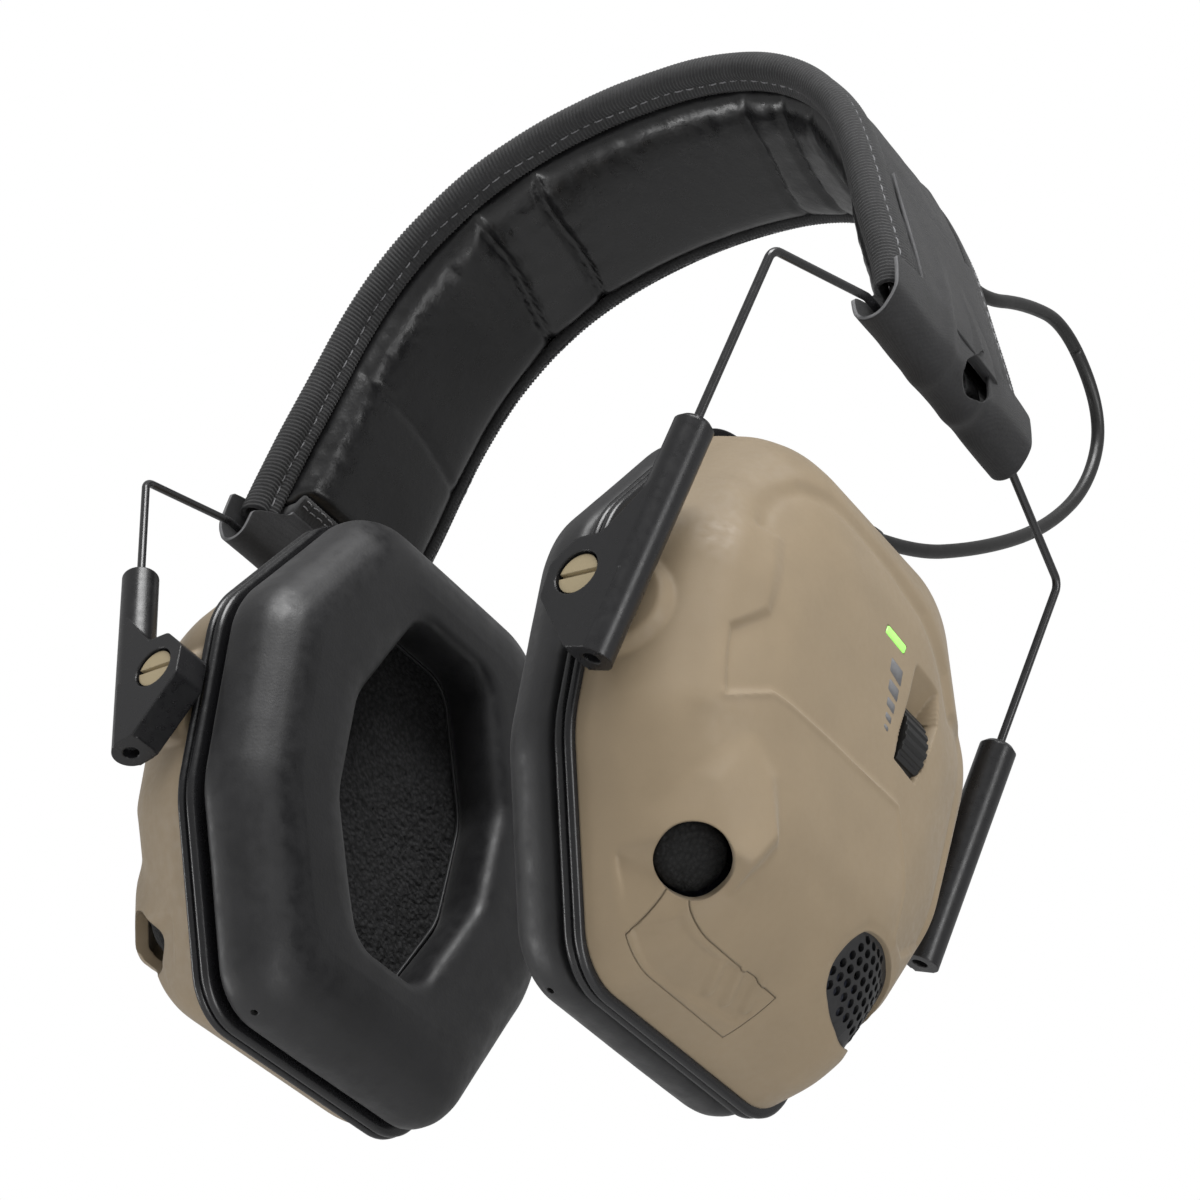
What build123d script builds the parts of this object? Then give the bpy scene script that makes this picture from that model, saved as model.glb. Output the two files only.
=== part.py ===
from build123d import *

import os
from math import cos, radians, sin, tan

# Electronic earmuff hearing protector, millimetres, +Z up.
# The origin is the middle of the crown pad's inner face, where the head carries it.
# +X is towards the cup with the volume wheel, -Y is the wearer's front.

# ---------------------------------------------------------------- driving dimensions
BAND_TERMS = (41.08, 60.54, -39.37, 24.92, -8.88)  # cosine terms of the band line's radius
BAND_HALF_WIDTH = 21.0
SPRING_THICKNESS = 0.8
SPRING_HALF_WIDTH = 6.0
PAD_INNER = -6.8  # offset of the pad's face from the band line
PAD_OUTER = -0.5
PAD_END_ANGLE = 88.0
BAND_CENTRE_Z = -sum(BAND_TERMS) - PAD_INNER  # centre of the band line's radii
COVER_INNER = 2.1
COVER_OUTER = 3.0
BINDING_INNER = -2.2
BINDING_OUTER = 3.9
BINDING_WIDTH = 6.0
TAPE = 0.8  # thickness of the binding tape
BINDING_END_ANGLE = 92.0

WIRE_RADIUS = 0.75
RUNNING_GAP = 0.05
SLEEVE_X = 71.6
SLEEVE_Z = BAND_CENTRE_Z - 8.7
SLEEVE_HALF_LENGTH = 22.9
SLEEVE_OUTER = 4.2
SLEEVE_INNER = 3.2
EYE_ANGLE = 97.2

KNEE_Y = 47.6  # half the distance between the legs of one wire yoke
KNEE_DROP = 8.6
KNEE_RADIUS = 2.6
LEG_LENGTH = 64.0
ARM_LENGTH = 42.5
ARM_RADIUS = 3.3
PIVOT_BELOW_ARM_TOP = 29.4
PIVOT_INSET = 7.2
PIN_RADIUS = 2.4
PIN_HEAD_RADIUS = 3.5

CUP_CORNERS = [(24.5, 50, 15), (44.2, 16, 18), (41, -20, 22), (25, -54, 11)]
OPENING_CORNERS = [(10, 32.5, 7), (20.4, 9, 12), (19.6, -12, 12), (8.5, -35, 7)]
RIM_U = -2.7  # where shell and base ring meet, measured outwards from the tilt axis
SHELL_PROFILE = [(0, 0.985), (7, 0.965), (13, 0.915), (18, 0.82), (21.5, 0.68), (23.5, 0.52)]
TOP_TAPER = 0.03  # share by which the shell's top and lower end draw in at 13 mm height
BOTTOM_TAPER = 0.10
SHELL_WALL = 2.2
RING_HEIGHT = 3.5
CUSHION_FACE_U = -19.7

WHEEL_CENTRE = (12.6, 12.3, 5.0)
WHEEL_RADIUS = 8.6
WHEEL_WIDTH = 6.4
SPINDLE_RADIUS = 1.5
BATTERY_RADIUS = 5.2
BATTERY_LENGTH = 44.5
LEAD_RADIUS = 1.3

# (lean of the yoke, bare wire above the arm, tilt of the cup) on each side
RIGHT = (16.3, 33.7, 4.3)
LEFT = (16.6, 25.5, 1.5)

os.makedirs("parts", exist_ok=True)


def save(name, shape):
    export_step(shape, f"parts/{name}.step")


# ---------------------------------------------------------------- headband
def band_radius(angle):
    """Radius of the band line at an angle from the crown."""
    return sum(term * cos(radians(order * angle)) for order, term in enumerate(BAND_TERMS))


def band_point(angle, offset=0.0, y=0.0):
    """Point at an angle from the crown, offset outwards from the band line."""
    radius = band_radius(angle) + offset
    turn = radians(angle)
    return Vector(radius * sin(turn), y, BAND_CENTRE_Z + radius * cos(turn))


def band_strip(inner, outer, y_low, y_high, start, end):
    """Strip that follows the band line between two offsets, two angles and two widths."""
    steps = max(4, round((end - start) / 6))
    angles = [start + (end - start) * i / steps for i in range(steps + 1)]
    over = Spline(*[band_point(a, outer) for a in angles])
    under = Spline(*[band_point(a, inner) for a in angles])
    ends = [Line(over @ 0, under @ 0), Line(over @ 1, under @ 1)]
    face = make_face([over, under] + ends)
    return Pos(0, y_low, 0) * extrude(face, amount=y_high - y_low, dir=(0, 1, 0))


def along_u(radius, v, w, u_low, u_high):
    """Cylinder along a cup's U axis."""
    body = Cylinder(radius, u_high - u_low, rotation=(0, 90, 0))
    return Pos((u_low + u_high) / 2, v, w) * body


def along_y(radius, y_low, y_high):
    """Cylinder on the Y axis between two heights."""
    body = Cylinder(radius, y_high - y_low, rotation=(90, 0, 0))
    return Pos(0, (y_low + y_high) / 2, 0) * body


def spring_band():
    strip = band_strip(
        -SPRING_THICKNESS / 2, SPRING_THICKNESS / 2,
        -SPRING_HALF_WIDTH, SPRING_HALF_WIDTH, -EYE_ANGLE, EYE_ANGLE,
    )
    bore = WIRE_RADIUS + RUNNING_GAP
    for side in (-1, 1):
        at = Pos(side * SLEEVE_X, 0, SLEEVE_Z)
        eye = along_y(bore + SPRING_THICKNESS, -SPRING_HALF_WIDTH, SPRING_HALF_WIDTH)
        strip += at * eye
        strip -= at * along_y(bore, -SPRING_HALF_WIDTH - 1, SPRING_HALF_WIDTH + 1)
    return strip


def binding(side):
    """U-shaped ribbed tape over one long edge of the band."""
    edge = BAND_HALF_WIDTH
    outside = band_strip(
        BINDING_INNER, BINDING_OUTER, edge - BINDING_WIDTH, edge,
        -BINDING_END_ANGLE, BINDING_END_ANGLE,
    )
    inside = band_strip(
        BINDING_INNER + TAPE, BINDING_OUTER - TAPE, edge - BINDING_WIDTH - 1, edge - TAPE,
        -BINDING_END_ANGLE - 1, BINDING_END_ANGLE + 1,
    )
    tape = outside - inside
    return tape if side > 0 else mirror(tape, about=Plane.XZ)


def sleeve():
    """Outer fabric folded round the wire and sewn back under the pad, on the +X side."""
    between = BAND_HALF_WIDTH - BINDING_WIDTH - 0.1
    half = SLEEVE_HALF_LENGTH
    panel = band_strip(COVER_OUTER + 0.05, BINDING_OUTER, -between, between, 66, 92.3)
    wide = band_strip(COVER_OUTER + 0.05, SLEEVE_OUTER, -half, half, 92.2, 97.2)
    return_flap = band_strip(-5.3, -4.45, -between, between, 90.2, 98.4)
    at = Pos(SLEEVE_X, 0, SLEEVE_Z)
    fold = at * (along_y(SLEEVE_OUTER, -half, half) - along_y(SLEEVE_INNER, -half, half))
    below = Pos(SLEEVE_X, 0, SLEEVE_Z - 4.5) * Box(12, 2 * half, 10)
    shape = panel + wide + return_flap + (fold & below)
    window = Pos(SLEEVE_X + 4, 1.5, SLEEVE_Z + 0.5) * Box(7, 9, 8)
    return shape - window


# ---------------------------------------------------------------- wire yokes and arms
def yoke_location(side):
    return Location((SLEEVE_X, 0, SLEEVE_Z)) * Rotation(0, side[0], 0)


def on_left(shape):
    return mirror(shape, about=Plane.YZ)


def wire_yoke():
    """Bent spring wire: a middle run in the sleeve, two sloping shoulders, two legs."""
    bend = SLEEVE_HALF_LENGTH + 1.5
    route = [
        (0, -KNEE_Y, -KNEE_DROP - LEG_LENGTH),
        (0, -KNEE_Y, -KNEE_DROP),
        (0, -bend, 0),
        (0, bend, 0),
        (0, KNEE_Y, -KNEE_DROP),
        (0, KNEE_Y, -KNEE_DROP - LEG_LENGTH),
    ]
    path = FilletPolyline(*route, radius=KNEE_RADIUS)
    return sweep(Plane(path @ 0, z_dir=path % 0) * Circle(WIRE_RADIUS), path=path)


def arm(bare_wire):
    """Front arm of the +X side in the yoke's frame: bored tube with a pivot plate."""
    top = -KNEE_DROP - bare_wire
    bottom = top - ARM_LENGTH
    pivot = Vector(-PIVOT_INSET, 0, top - PIVOT_BELOW_ARM_TOP)
    y_in = 44.4
    y_out = KNEE_Y + ARM_RADIUS
    middle = (top + bottom) / 2
    tube = Pos(0, -KNEE_Y, middle) * Cylinder(ARM_RADIUS, ARM_LENGTH)
    tube = chamfer(tube.faces().sort_by(Axis.Z)[-1].edges(), 0.8)
    foot = Pos(-0.6, -KNEE_Y, bottom + 7) * Box(5.4, 2 * ARM_RADIUS, 14)
    foot = chamfer(foot.edges().filter_by(Axis.Z), 1.2)
    # the plate is a D round the pivot, drawn down to a point beside the foot
    px, pz = pivot.X, pivot.Z
    outline = Polyline(
        (0, 0, pz + 17), (-2.4, 0, pz + 13), (px + 1.5, 0, pz + 7.2), (px - 3.2, 0, pz + 6.2),
        (px - 6.2, 0, pz + 1.5), (px - 5.2, 0, pz - 4.5), (-3.0, 0, bottom), (0, 0, bottom),
        close=True,
    )
    face = make_face(outline)
    face = fillet(face.vertices().sort_by(Axis.X)[:3], 1.8)
    plate = Pos(0, -y_out, 0) * extrude(face, amount=y_out - y_in, dir=(0, 1, 0))
    shape = tube + foot + plate
    bore = Pos(0, -KNEE_Y, middle) * Cylinder(WIRE_RADIUS + RUNNING_GAP, ARM_LENGTH + 2)
    mouth = Pos(0, -KNEE_Y, bottom + 1) * Cylinder(1.4, 2.01)
    at = Pos(pivot)
    hole = at * along_y(PIN_RADIUS + RUNNING_GAP, -60, -40)
    recess = at * along_y(PIN_HEAD_RADIUS + 0.4, -60, -y_out + 1.8)
    return shape - bore - mouth - hole - recess


# ---------------------------------------------------------------- cups
# A cup is drawn in its own frame: U outwards (X), V to the rear (Y), W up (Z), and
# its tilt axis is V through the origin.
def rounded(corners, factor=1.0):
    """Face in the V-W plane with mirrored, rounded corners, scaled about the axis."""
    ends = [Vector(0, v, w) for v, w, _ in corners]
    ends += [Vector(0, -v, w) for v, w, _ in reversed(corners)]
    radii = [r for _, _, r in corners] + [r for _, _, r in reversed(corners)]
    pieces = []
    points = []
    for i, corner in enumerate(ends):
        before = (ends[i - 1] - corner).normalized()
        after = (ends[(i + 1) % len(ends)] - corner).normalized()
        half = radians(before.get_angle(after)) / 2
        reach = radii[i] / tan(half)
        inwards = (before + after).normalized()
        middle = corner + inwards * (radii[i] / sin(half) - radii[i])
        first, last = corner + before * reach, corner + after * reach
        points.append((first * factor, middle * factor, last * factor))
    for i, (first, middle, last) in enumerate(points):
        pieces.append(ThreePointArc(first, middle, last))
        pieces.append(Line(last, points[(i + 1) % len(points)][0]))
    return make_face(pieces)


def plate(corners, factor, u_low, u_high):
    """Flat slab of a rounded outline between two heights."""
    return Pos(u_low, 0, 0) * extrude(rounded(corners, factor), amount=u_high - u_low, dir=(1, 0, 0))


def tapered(height):
    """Outline corners of the shell at a height above its rim."""
    share = min(height, 13) / 13 + max(0, height - 13) / 26
    ends = []
    for v, w, radius in CUP_CORNERS:
        taper = TOP_TAPER if w > 0 else BOTTOM_TAPER
        ends.append((v, w * (1 - taper * share), radius))
    return ends


def cup_body(inset):
    """Solid bounded by the shell's outer surface moved inwards by the inset."""
    sections = []
    for height, factor in SHELL_PROFILE:
        lower = height - inset if height else -1.0 if inset else 0.0
        shrink = factor - inset / 46
        sections.append(Pos(RIM_U + lower, 0, 0) * rounded(tapered(height), shrink))
    return loft(sections)


def box_between(low, high):
    size = [b - a for a, b in zip(low, high)]
    middle = [(a + b) / 2 for a, b in zip(low, high)]
    return Pos(*middle) * Box(*size)


def prism(points, u_low, u_high):
    """Straight prism along U over a polygon in the V-W plane."""
    face = make_face(Polyline(*[(0, v, w) for v, w in points], close=True))
    return Pos(u_low, 0, 0) * extrude(face, amount=u_high - u_low, dir=(1, 0, 0))


MIC_CENTRE = Vector(11.5, -24.4, -35.5)
MIC_AIM = Vector(0.66, -0.44, -0.61)
MIC_RADIUS = 5.6
MIC_HOOD_RADIUS = 7.3
MIC_FLOOR = -4.5  # floor of the microphone's pocket, along its aim
GRILLE = [(7.5, -35.5), (11, -29.5), (21, -30), (29, -34), (26, -40), (17, -43), (9, -41)]
GRILLE_MIDDLE = (18.5, -36.3)
GRILLE_FIT = 0.96  # size of the plate against its opening
DOOR_LOW = (3.2, -25.0, -60.0)
DOOR_HIGH = (11.4, 1.5, -41.0)
DOOR_GAP = 0.3
LENS_CENTRE = (20.0, 2.6, 18.5)
LENS_SIZE = (3.0, 4.6, 3.2)
LENS_TURN = -47
BOOT_BASE = Vector(3.5, 2.0, 46.0)
BOOT_AIM = Vector(0, 0.94, 0.34)
BOOT_LENGTH = 13.0
SCREW_SPOTS = [(21, 42), (-21, 42), (34.5, -23), (-34.5, -23)]
SCREW_RADIUS = 1.3
SCREW_HEAD_RADIUS = 2.2


def aimed(origin, aim):
    """Plane whose normal points along the aim."""
    return Plane(origin=origin, x_dir=(0, 1, 0) if abs(aim.Y) < 0.9 else (1, 0, 0), z_dir=aim)


def mic_cylinder(radius, low, high):
    frame = aimed(MIC_CENTRE, MIC_AIM)
    return frame * (Pos(0, 0, (low + high) / 2) * Cylinder(radius, high - low))


def lens_block(clearance=0.0, depth=0.0):
    """The status lens, or with a clearance and a depth the slot it stands in."""
    u_size, v_size, w_size = [s + 2 * clearance for s in LENS_SIZE]
    return Pos(*LENS_CENTRE) * Rot(LENS_TURN, 0, 0) * Box(u_size + depth, v_size, w_size)


def boot():
    """Strain relief boot on top of the shell, with the lead's bore along it."""
    frame = aimed(BOOT_BASE, BOOT_AIM)
    cone = frame * (Pos(0, 0, BOOT_LENGTH / 2) * Cone(3.4, 2.2, BOOT_LENGTH))
    return cone - frame * (Pos(0, 0, BOOT_LENGTH / 2) * Cylinder(LEAD_RADIUS + 0.15, BOOT_LENGTH + 2))


def door_box(grow):
    low = [a - grow for a in DOOR_LOW]
    high = [b + grow for b in DOOR_HIGH]
    low[2] = DOOR_LOW[2]
    return box_between(low, high)


def shell(near):
    """Outer shell with its pivot bosses, microphone pocket and, near side, controls."""
    outer = cup_body(0)
    hollow = cup_body(SHELL_WALL)
    wall = outer - hollow
    for side in (-1, 1):
        boss = box_between((RIM_U, 36.5, -5), (5.5, 42.6, 5))
        wall += (boss if side > 0 else mirror(boss, about=Plane.XZ)) & outer
    for v, w in SCREW_SPOTS:
        wall += along_u(3.0, v, w, RIM_U, 9.0) & outer
        wall -= along_u(SCREW_RADIUS, v, w, RIM_U - 1, 7.2)
    wall -= along_y(PIN_RADIUS + 0.02, -60, 60)
    wall += mic_cylinder(MIC_HOOD_RADIUS, -13, 0.4) - hollow
    wall -= mic_cylinder(MIC_RADIUS + 0.1, MIC_FLOOR, 14)
    wall -= prism(GRILLE, 0, 30)
    frame = aimed(BOOT_BASE, BOOT_AIM)
    wall -= frame * (Pos(0, 0, BOOT_LENGTH / 2) * Cone(3.45, 2.25, BOOT_LENGTH))
    wall -= frame * (Pos(0, 0, -4) * Cylinder(1.6, 12))
    if near:
        u, v, w = WHEEL_CENTRE
        half = WHEEL_WIDTH / 2 + 0.6
        wall -= box_between((14, v - half, w - 8), (30, v + half, w + 9.5))
        wall -= lens_block(0.1, 8)
        wall -= door_box(DOOR_GAP)
    return wall


def door():
    """Battery door: the piece of the shell's lower front edge, with three grip ribs."""
    skin = (cup_body(0) - cup_body(SHELL_WALL)) & door_box(0)
    for i in range(3):
        v = -9.5 + 4.2 * i
        rib = box_between((5.0, v, -60), (10.0, v + 1.8, -42)) & (cup_body(-0.5) - cup_body(0))
        skin += rib
    return skin


def grille():
    """Thin plate over the speaker's vent, set just under the shell's surface."""
    mid_v, mid_w = GRILLE_MIDDLE
    fit = GRILLE_FIT
    outline = [(mid_v + fit * (v - mid_v), mid_w + fit * (w - mid_w)) for v, w in GRILLE]
    return (cup_body(0.5) - cup_body(1.4)) & prism(outline, 6, 30)


def base_ring():
    """Black ring with a groove round its edge, a ledge inside and four screw holes."""
    low = RIM_U - RING_HEIGHT
    ring = plate(CUP_CORNERS, 1.0, low, RIM_U) - plate(CUP_CORNERS, 0.80, low - 1, RIM_U + 1)
    groove = plate(CUP_CORNERS, 1.1, low + 1.4, low + 2.1) - plate(CUP_CORNERS, 0.985, low + 1, low + 3)
    ring -= groove
    for v, w in SCREW_SPOTS:
        ring -= along_u(SCREW_RADIUS + 0.2, v, w, low - 1, RIM_U + 1)
        ring -= along_u(SCREW_HEAD_RADIUS + 0.2, v, w, low - 1, low + 1.5)
    return ring


def shell_screws():
    """Four screws from the cushion side through the ring into the shell's posts."""
    low = RIM_U - RING_HEIGHT
    group = []
    for v, w in SCREW_SPOTS:
        shank = along_u(SCREW_RADIUS - 0.05, v, w, low + 0.2, 7.0)
        group.append(shank + along_u(SCREW_HEAD_RADIUS, v, w, low + 0.2, low + 1.4))
    return group


def pivot_pins():
    """Two slotted pins, pressed into the shell, that the arms turn on."""
    pins = []
    for side in (-1, 1):
        pin = along_y(PIN_RADIUS, 37.5, 49.25) + along_y(PIN_HEAD_RADIUS, 49.2, 50.5)
        pin -= box_between((-5, 49.7, -0.45), (5, 51, 0.45))
        pins.append(pin if side > 0 else mirror(pin, about=Plane.XZ))
    return pins


def cushion():
    """Soft ear cushion, wide at its seat and bevelled to its face."""
    seat = RIM_U - RING_HEIGHT - 1.25
    body = loft([
        Pos(seat, 0, 0) * rounded(CUP_CORNERS, 0.955),
        Pos(seat - 6.5, 0, 0) * rounded(CUP_CORNERS, 0.955),
        Pos(CUSHION_FACE_U + 1.6, 0, 0) * rounded(CUP_CORNERS, 0.90),
        Pos(CUSHION_FACE_U, 0, 0) * rounded(CUP_CORNERS, 0.80),
    ], ruled=True)
    return body - plate(OPENING_CORNERS, 1.0, CUSHION_FACE_U - 1, seat + 1)


def cushion_plate():
    low = RIM_U - RING_HEIGHT - 1.2
    outline = plate(CUP_CORNERS, 0.93, low, low + 1.15)
    return outline - plate(OPENING_CORNERS, 1.12, low - 1, low + 2)


def foam_liner():
    return plate(CUP_CORNERS, 0.78, -6.1, -3.0)


def baffle():
    """Inner plate that carries the speaker."""
    sheet = plate(CUP_CORNERS, 0.89, RIM_U + 0.05, RIM_U + 1.5)
    sheet -= along_u(14.1, 0, 0, -10, 10)
    for v, w in SCREW_SPOTS:
        sheet -= along_u(3.1, v, w, -10, 10)
    for side in (-1, 1):
        clear = box_between((RIM_U, 36.2, -5.3), (5.5, 45, 5.3))
        sheet -= clear if side > 0 else mirror(clear, about=Plane.XZ)
    return sheet


def speaker():
    return along_u(14.0, 0, 0, -2.9, -0.3) + along_u(7.0, 0, 0, -0.4, 1.5)


def circuit_board():
    board = box_between((2.2, -26, -17), (3.8, 26, 36))
    for spot_v, spot_w in SCREW_SPOTS:
        board -= along_u(3.4, spot_v, spot_w, 0, 8)
    chip = box_between((3.8, -12, 14), (5.6, 0, 26))
    return board + chip


def batteries():
    cells = []
    for w in (-33.4, -22.9):
        cell = Pos(5.3, 2.6, w) * Cylinder(BATTERY_RADIUS, BATTERY_LENGTH, rotation=(90, 0, 0))
        cells.append(cell)
    return cells


def battery_contacts():
    tabs = []
    for v in (-20.1, 24.9):
        tabs.append(box_between((1.0, v, -30.6), (9.4, v + 0.4, -19.6)))
    return tabs


def volume_wheel():
    """Knurled thumb wheel turning on the volume switch's spindle."""
    wheel = Cylinder(WHEEL_RADIUS, WHEEL_WIDTH)
    notch = Pos(WHEEL_RADIUS + 0.25, 0, 0) * Cylinder(0.55, WHEEL_WIDTH + 1)
    teeth = 30
    wheel -= [Rot(0, 0, 360 / teeth * i) * notch for i in range(teeth)]
    wheel -= Cylinder(SPINDLE_RADIUS + RUNNING_GAP, WHEEL_WIDTH + 1)
    return Pos(*WHEEL_CENTRE) * Rot(90, 0, 0) * wheel


def volume_switch():
    """Rotary switch on the board, with the wheel's spindle."""
    u, v, w = WHEEL_CENTRE
    edge = v + WHEEL_WIDTH / 2 + 0.7
    body = box_between((3.8, edge, w - 5.5), (u + 4.5, edge + 4.5, w + 5.5))
    spindle = Pos(u, 0, w) * along_y(SPINDLE_RADIUS, v - WHEEL_WIDTH / 2 - 1, edge + 1)
    return body + spindle


def mic_foam():
    return mic_cylinder(MIC_RADIUS, -1.2, 0.9)


def microphone():
    return mic_cylinder(3.0, MIC_FLOOR + 0.05, -1.3)


# ---------------------------------------------------------------- leads
def boot_tip(side):
    """End of the boot's bore in the whole part's frame, on the +X side."""
    place = cup_location(side)
    return (place * Location(BOOT_BASE + BOOT_AIM.normalized() * BOOT_LENGTH)).position


def boot_end(side):
    place = cup_location(side)
    return (place * Location(BOOT_BASE)).position


def cup_location(side):
    lean, bare_wire, tilt = side
    drop = KNEE_DROP + bare_wire + PIVOT_BELOW_ARM_TOP
    pivot = yoke_location(side) * Location((-PIVOT_INSET, 0, -drop))
    return Location(pivot.position) * Rotation(0, tilt, 0)


LEAD_OFFSET = 0.3  # of the lead's middle from the band line, beside the spring band
LEAD_Y = 10.5
BOOT_STRAIGHT = 9.0  # straight run of the lead beyond each boot


def lead_route():
    """From the right cup's boot, over in the band, to the left cup's boot."""
    tip, end = boot_tip(RIGHT), boot_end(RIGHT)
    right = [
        end,
        tip + (tip - end).normalized() * BOOT_STRAIGHT,
        Vector(55.0, 44, -78.7),
        Vector(57.5, 62, -61.7),
        Vector(60.0, 73, -43.7),
        Vector(62.0, 73, -26.7),
        Vector(62.8, 55, -17.2),
        Vector(62.8, 39, -25.0),
        band_point(60.5, 1.0, 24.0),
        band_point(57.8, 0.4, 13.1),
        band_point(51.5, LEAD_OFFSET, 8.75),
    ]
    angles = [38, 25, 12, -1, -14, -27, -40, -50, -60]
    hidden = [band_point(a, LEAD_OFFSET, LEAD_Y) for a in angles]
    tip, end = boot_tip(LEFT), boot_end(LEFT)
    left = [
        band_point(68, 0.5, 15.0),
        Vector(70.5, 24.0, -60.0),
        Vector(67.0, 34.5, -71.0),
        Vector(59.0, 34.0, -81.5),
        tip + (tip - end).normalized() * BOOT_STRAIGHT,
        end,
    ]
    return right + hidden + [Vector(-p.X, p.Y, p.Z) for p in left]


def lead(radius):
    """Round tube along straight runs joined by the largest arcs that the runs allow."""
    points = lead_route()
    radii = []
    for before, corner, after in zip(points, points[1:], points[2:]):
        run = min((corner - before).length, (after - corner).length)
        turn = radians((corner - before).get_angle(after - corner))
        radii.append(0.45 * run / tan(turn / 2))
    print("bend radii in mm:", [round(r, 1) for r in radii])
    path = FilletPolyline(*points, radius=radii)
    print("length", round(path.length, 1))
    print("points in mm:", [tuple(round(c, 2) for c in tuple(p)) for p in points])
    return sweep(Plane(path @ 0, z_dir=path % 0) * Circle(radius), path=path)


# ---------------------------------------------------------------- build the headband
channel = lead(LEAD_RADIUS + 0.2)
core_edge = BAND_HALF_WIDTH - BINDING_WIDTH - 1
pad_edge = BAND_HALF_WIDTH - BINDING_WIDTH - 0.2
cover_edge = BAND_HALF_WIDTH - TAPE - 0.2
seam = PAD_OUTER - TAPE  # offset of the pad's flange, which the binding grips
end = PAD_END_ANGLE
core = band_strip(PAD_INNER + TAPE, seam, -core_edge, core_edge, -end + 1, end - 1)
body = band_strip(PAD_INNER, seam, -pad_edge, pad_edge, -end, end)
flange = band_strip(seam, PAD_OUTER, -cover_edge, cover_edge, -end, end)
cover = band_strip(COVER_INNER, COVER_OUTER, -cover_edge, cover_edge, -91, 91)
end_tape = band_strip(-4.4, PAD_OUTER - 0.2, -13.6, 13.6, end + 0.1, BINDING_END_ANGLE - 0.3)
save("spring_band", spring_band())
save("pad_foam", core - channel)
save("pad_cover", body + flange - core - channel)
save("outer_cover", cover - channel)
save("binding_front", binding(-1))
save("binding_rear", binding(1) - channel)
save("right_end_binding", end_tape)
save("left_end_binding", on_left(end_tape))
save("right_sleeve", sleeve())
save("left_sleeve", on_left(sleeve()))
save("speaker_lead", lead(LEAD_RADIUS))

# ---------------------------------------------------------------- build both sides
for name, side, near in (("right", RIGHT, True), ("left", LEFT, False)):
    yoke_at = yoke_location(side)
    cup_at = cup_location(side)

    def put(part, location, node):
        """Save one piece, or a list of alike pieces as a group, on this side."""
        placed = [location * p for p in (part if isinstance(part, list) else [part])]
        if not near:
            placed = [on_left(p) for p in placed]
        save(f"{name}_{node}", Compound([p.solid() for p in placed]) if placed[1:] else placed[0])

    front_arm = arm(side[1])
    put(wire_yoke(), yoke_at, "yoke_wire")
    put(front_arm, yoke_at, "front_arm")
    put(mirror(front_arm, about=Plane.XZ), yoke_at, "rear_arm")
    put(shell(near), cup_at, "shell")
    put(base_ring(), cup_at, "base_ring")
    put(shell_screws(), cup_at, "shell_screws")
    put(pivot_pins(), cup_at, "pivot_pins")
    put(cushion(), cup_at, "cushion")
    put(cushion_plate(), cup_at, "cushion_plate")
    put(foam_liner(), cup_at, "foam_liner")
    put(baffle(), cup_at, "baffle")
    put(speaker(), cup_at, "speaker")
    put(boot(), cup_at, "lead_boot")
    put(grille(), cup_at, "grille")
    put(mic_foam(), cup_at, "mic_foam")
    put(microphone(), cup_at, "microphone")
    if near:
        put(circuit_board(), cup_at, "circuit_board")
        put(batteries(), cup_at, "batteries")
        put(battery_contacts(), cup_at, "battery_contacts")
        put(door(), cup_at, "battery_door")
        put(volume_wheel(), cup_at, "volume_wheel")
        put(volume_switch(), cup_at, "volume_switch")
        put(lens_block(), cup_at, "status_lens")
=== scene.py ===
from math import cos, pi, radians, sin, tan

import bmesh
import bpy
import numpy as np
from mathutils import Matrix, Vector, noise


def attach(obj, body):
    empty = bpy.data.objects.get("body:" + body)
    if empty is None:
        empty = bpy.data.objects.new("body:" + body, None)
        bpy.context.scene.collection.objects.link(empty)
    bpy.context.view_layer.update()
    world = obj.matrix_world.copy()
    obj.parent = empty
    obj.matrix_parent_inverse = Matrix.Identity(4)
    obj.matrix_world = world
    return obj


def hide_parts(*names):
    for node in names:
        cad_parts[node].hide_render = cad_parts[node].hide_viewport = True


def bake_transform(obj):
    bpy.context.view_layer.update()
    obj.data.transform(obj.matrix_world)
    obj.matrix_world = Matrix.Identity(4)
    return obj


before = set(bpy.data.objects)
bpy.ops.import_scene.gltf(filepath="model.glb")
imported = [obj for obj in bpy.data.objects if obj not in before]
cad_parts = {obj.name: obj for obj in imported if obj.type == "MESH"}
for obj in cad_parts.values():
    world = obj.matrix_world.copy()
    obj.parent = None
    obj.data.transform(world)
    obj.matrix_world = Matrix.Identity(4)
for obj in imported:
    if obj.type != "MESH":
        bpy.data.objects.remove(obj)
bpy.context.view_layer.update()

# Electronic earmuff hearing protector. Shapes are worked out in millimetres, in the frame of
# the solids, and turned into metres when a mesh is made.
MM = 0.001

# ---------- numbers of the solids
# Cups have their own frame, from the middle of the tilt axis: U outwards, V back and W up.
BAND_TERMS = (41.08, 60.54, -39.37, 24.92, -8.88)
BAND_CENTRE_Z = -71.49  # centre of the band line's radii
SLEEVE_X = 71.6
SLEEVE_Z = -80.19
SLEEVE_HALF_LENGTH = 22.9
KNEE_DROP = 8.6
PIVOT_BELOW_ARM_TOP = 29.4
PIVOT_INSET = 7.2
CUP_CORNERS = [(24.5, 50, 15), (44.2, 16, 18), (41, -20, 22), (25, -54, 11)]
TOP_TAPER, BOTTOM_TAPER = 0.03, 0.06  # share by which the shell's ends draw in, 13 mm out
OPENING_CORNERS = [(10, 32.5, 7), (20.4, 9, 12), (19.6, -12, 12), (8.5, -35, 7)]
RIM_U = -2.7  # where shell and base ring meet
SIDES = {"right": (16.3, 33.7, 4.3), "left": (16.6, 25.5, 1.5)}  # lean, bare wire, tilt
MIC_CENTRE = np.array((11.5, -24.4, -35.5))
MIC_AIM = np.array((0.66, -0.44, -0.61)) / np.linalg.norm((0.66, -0.44, -0.61))
MIC_RADIUS = 5.6
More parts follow.
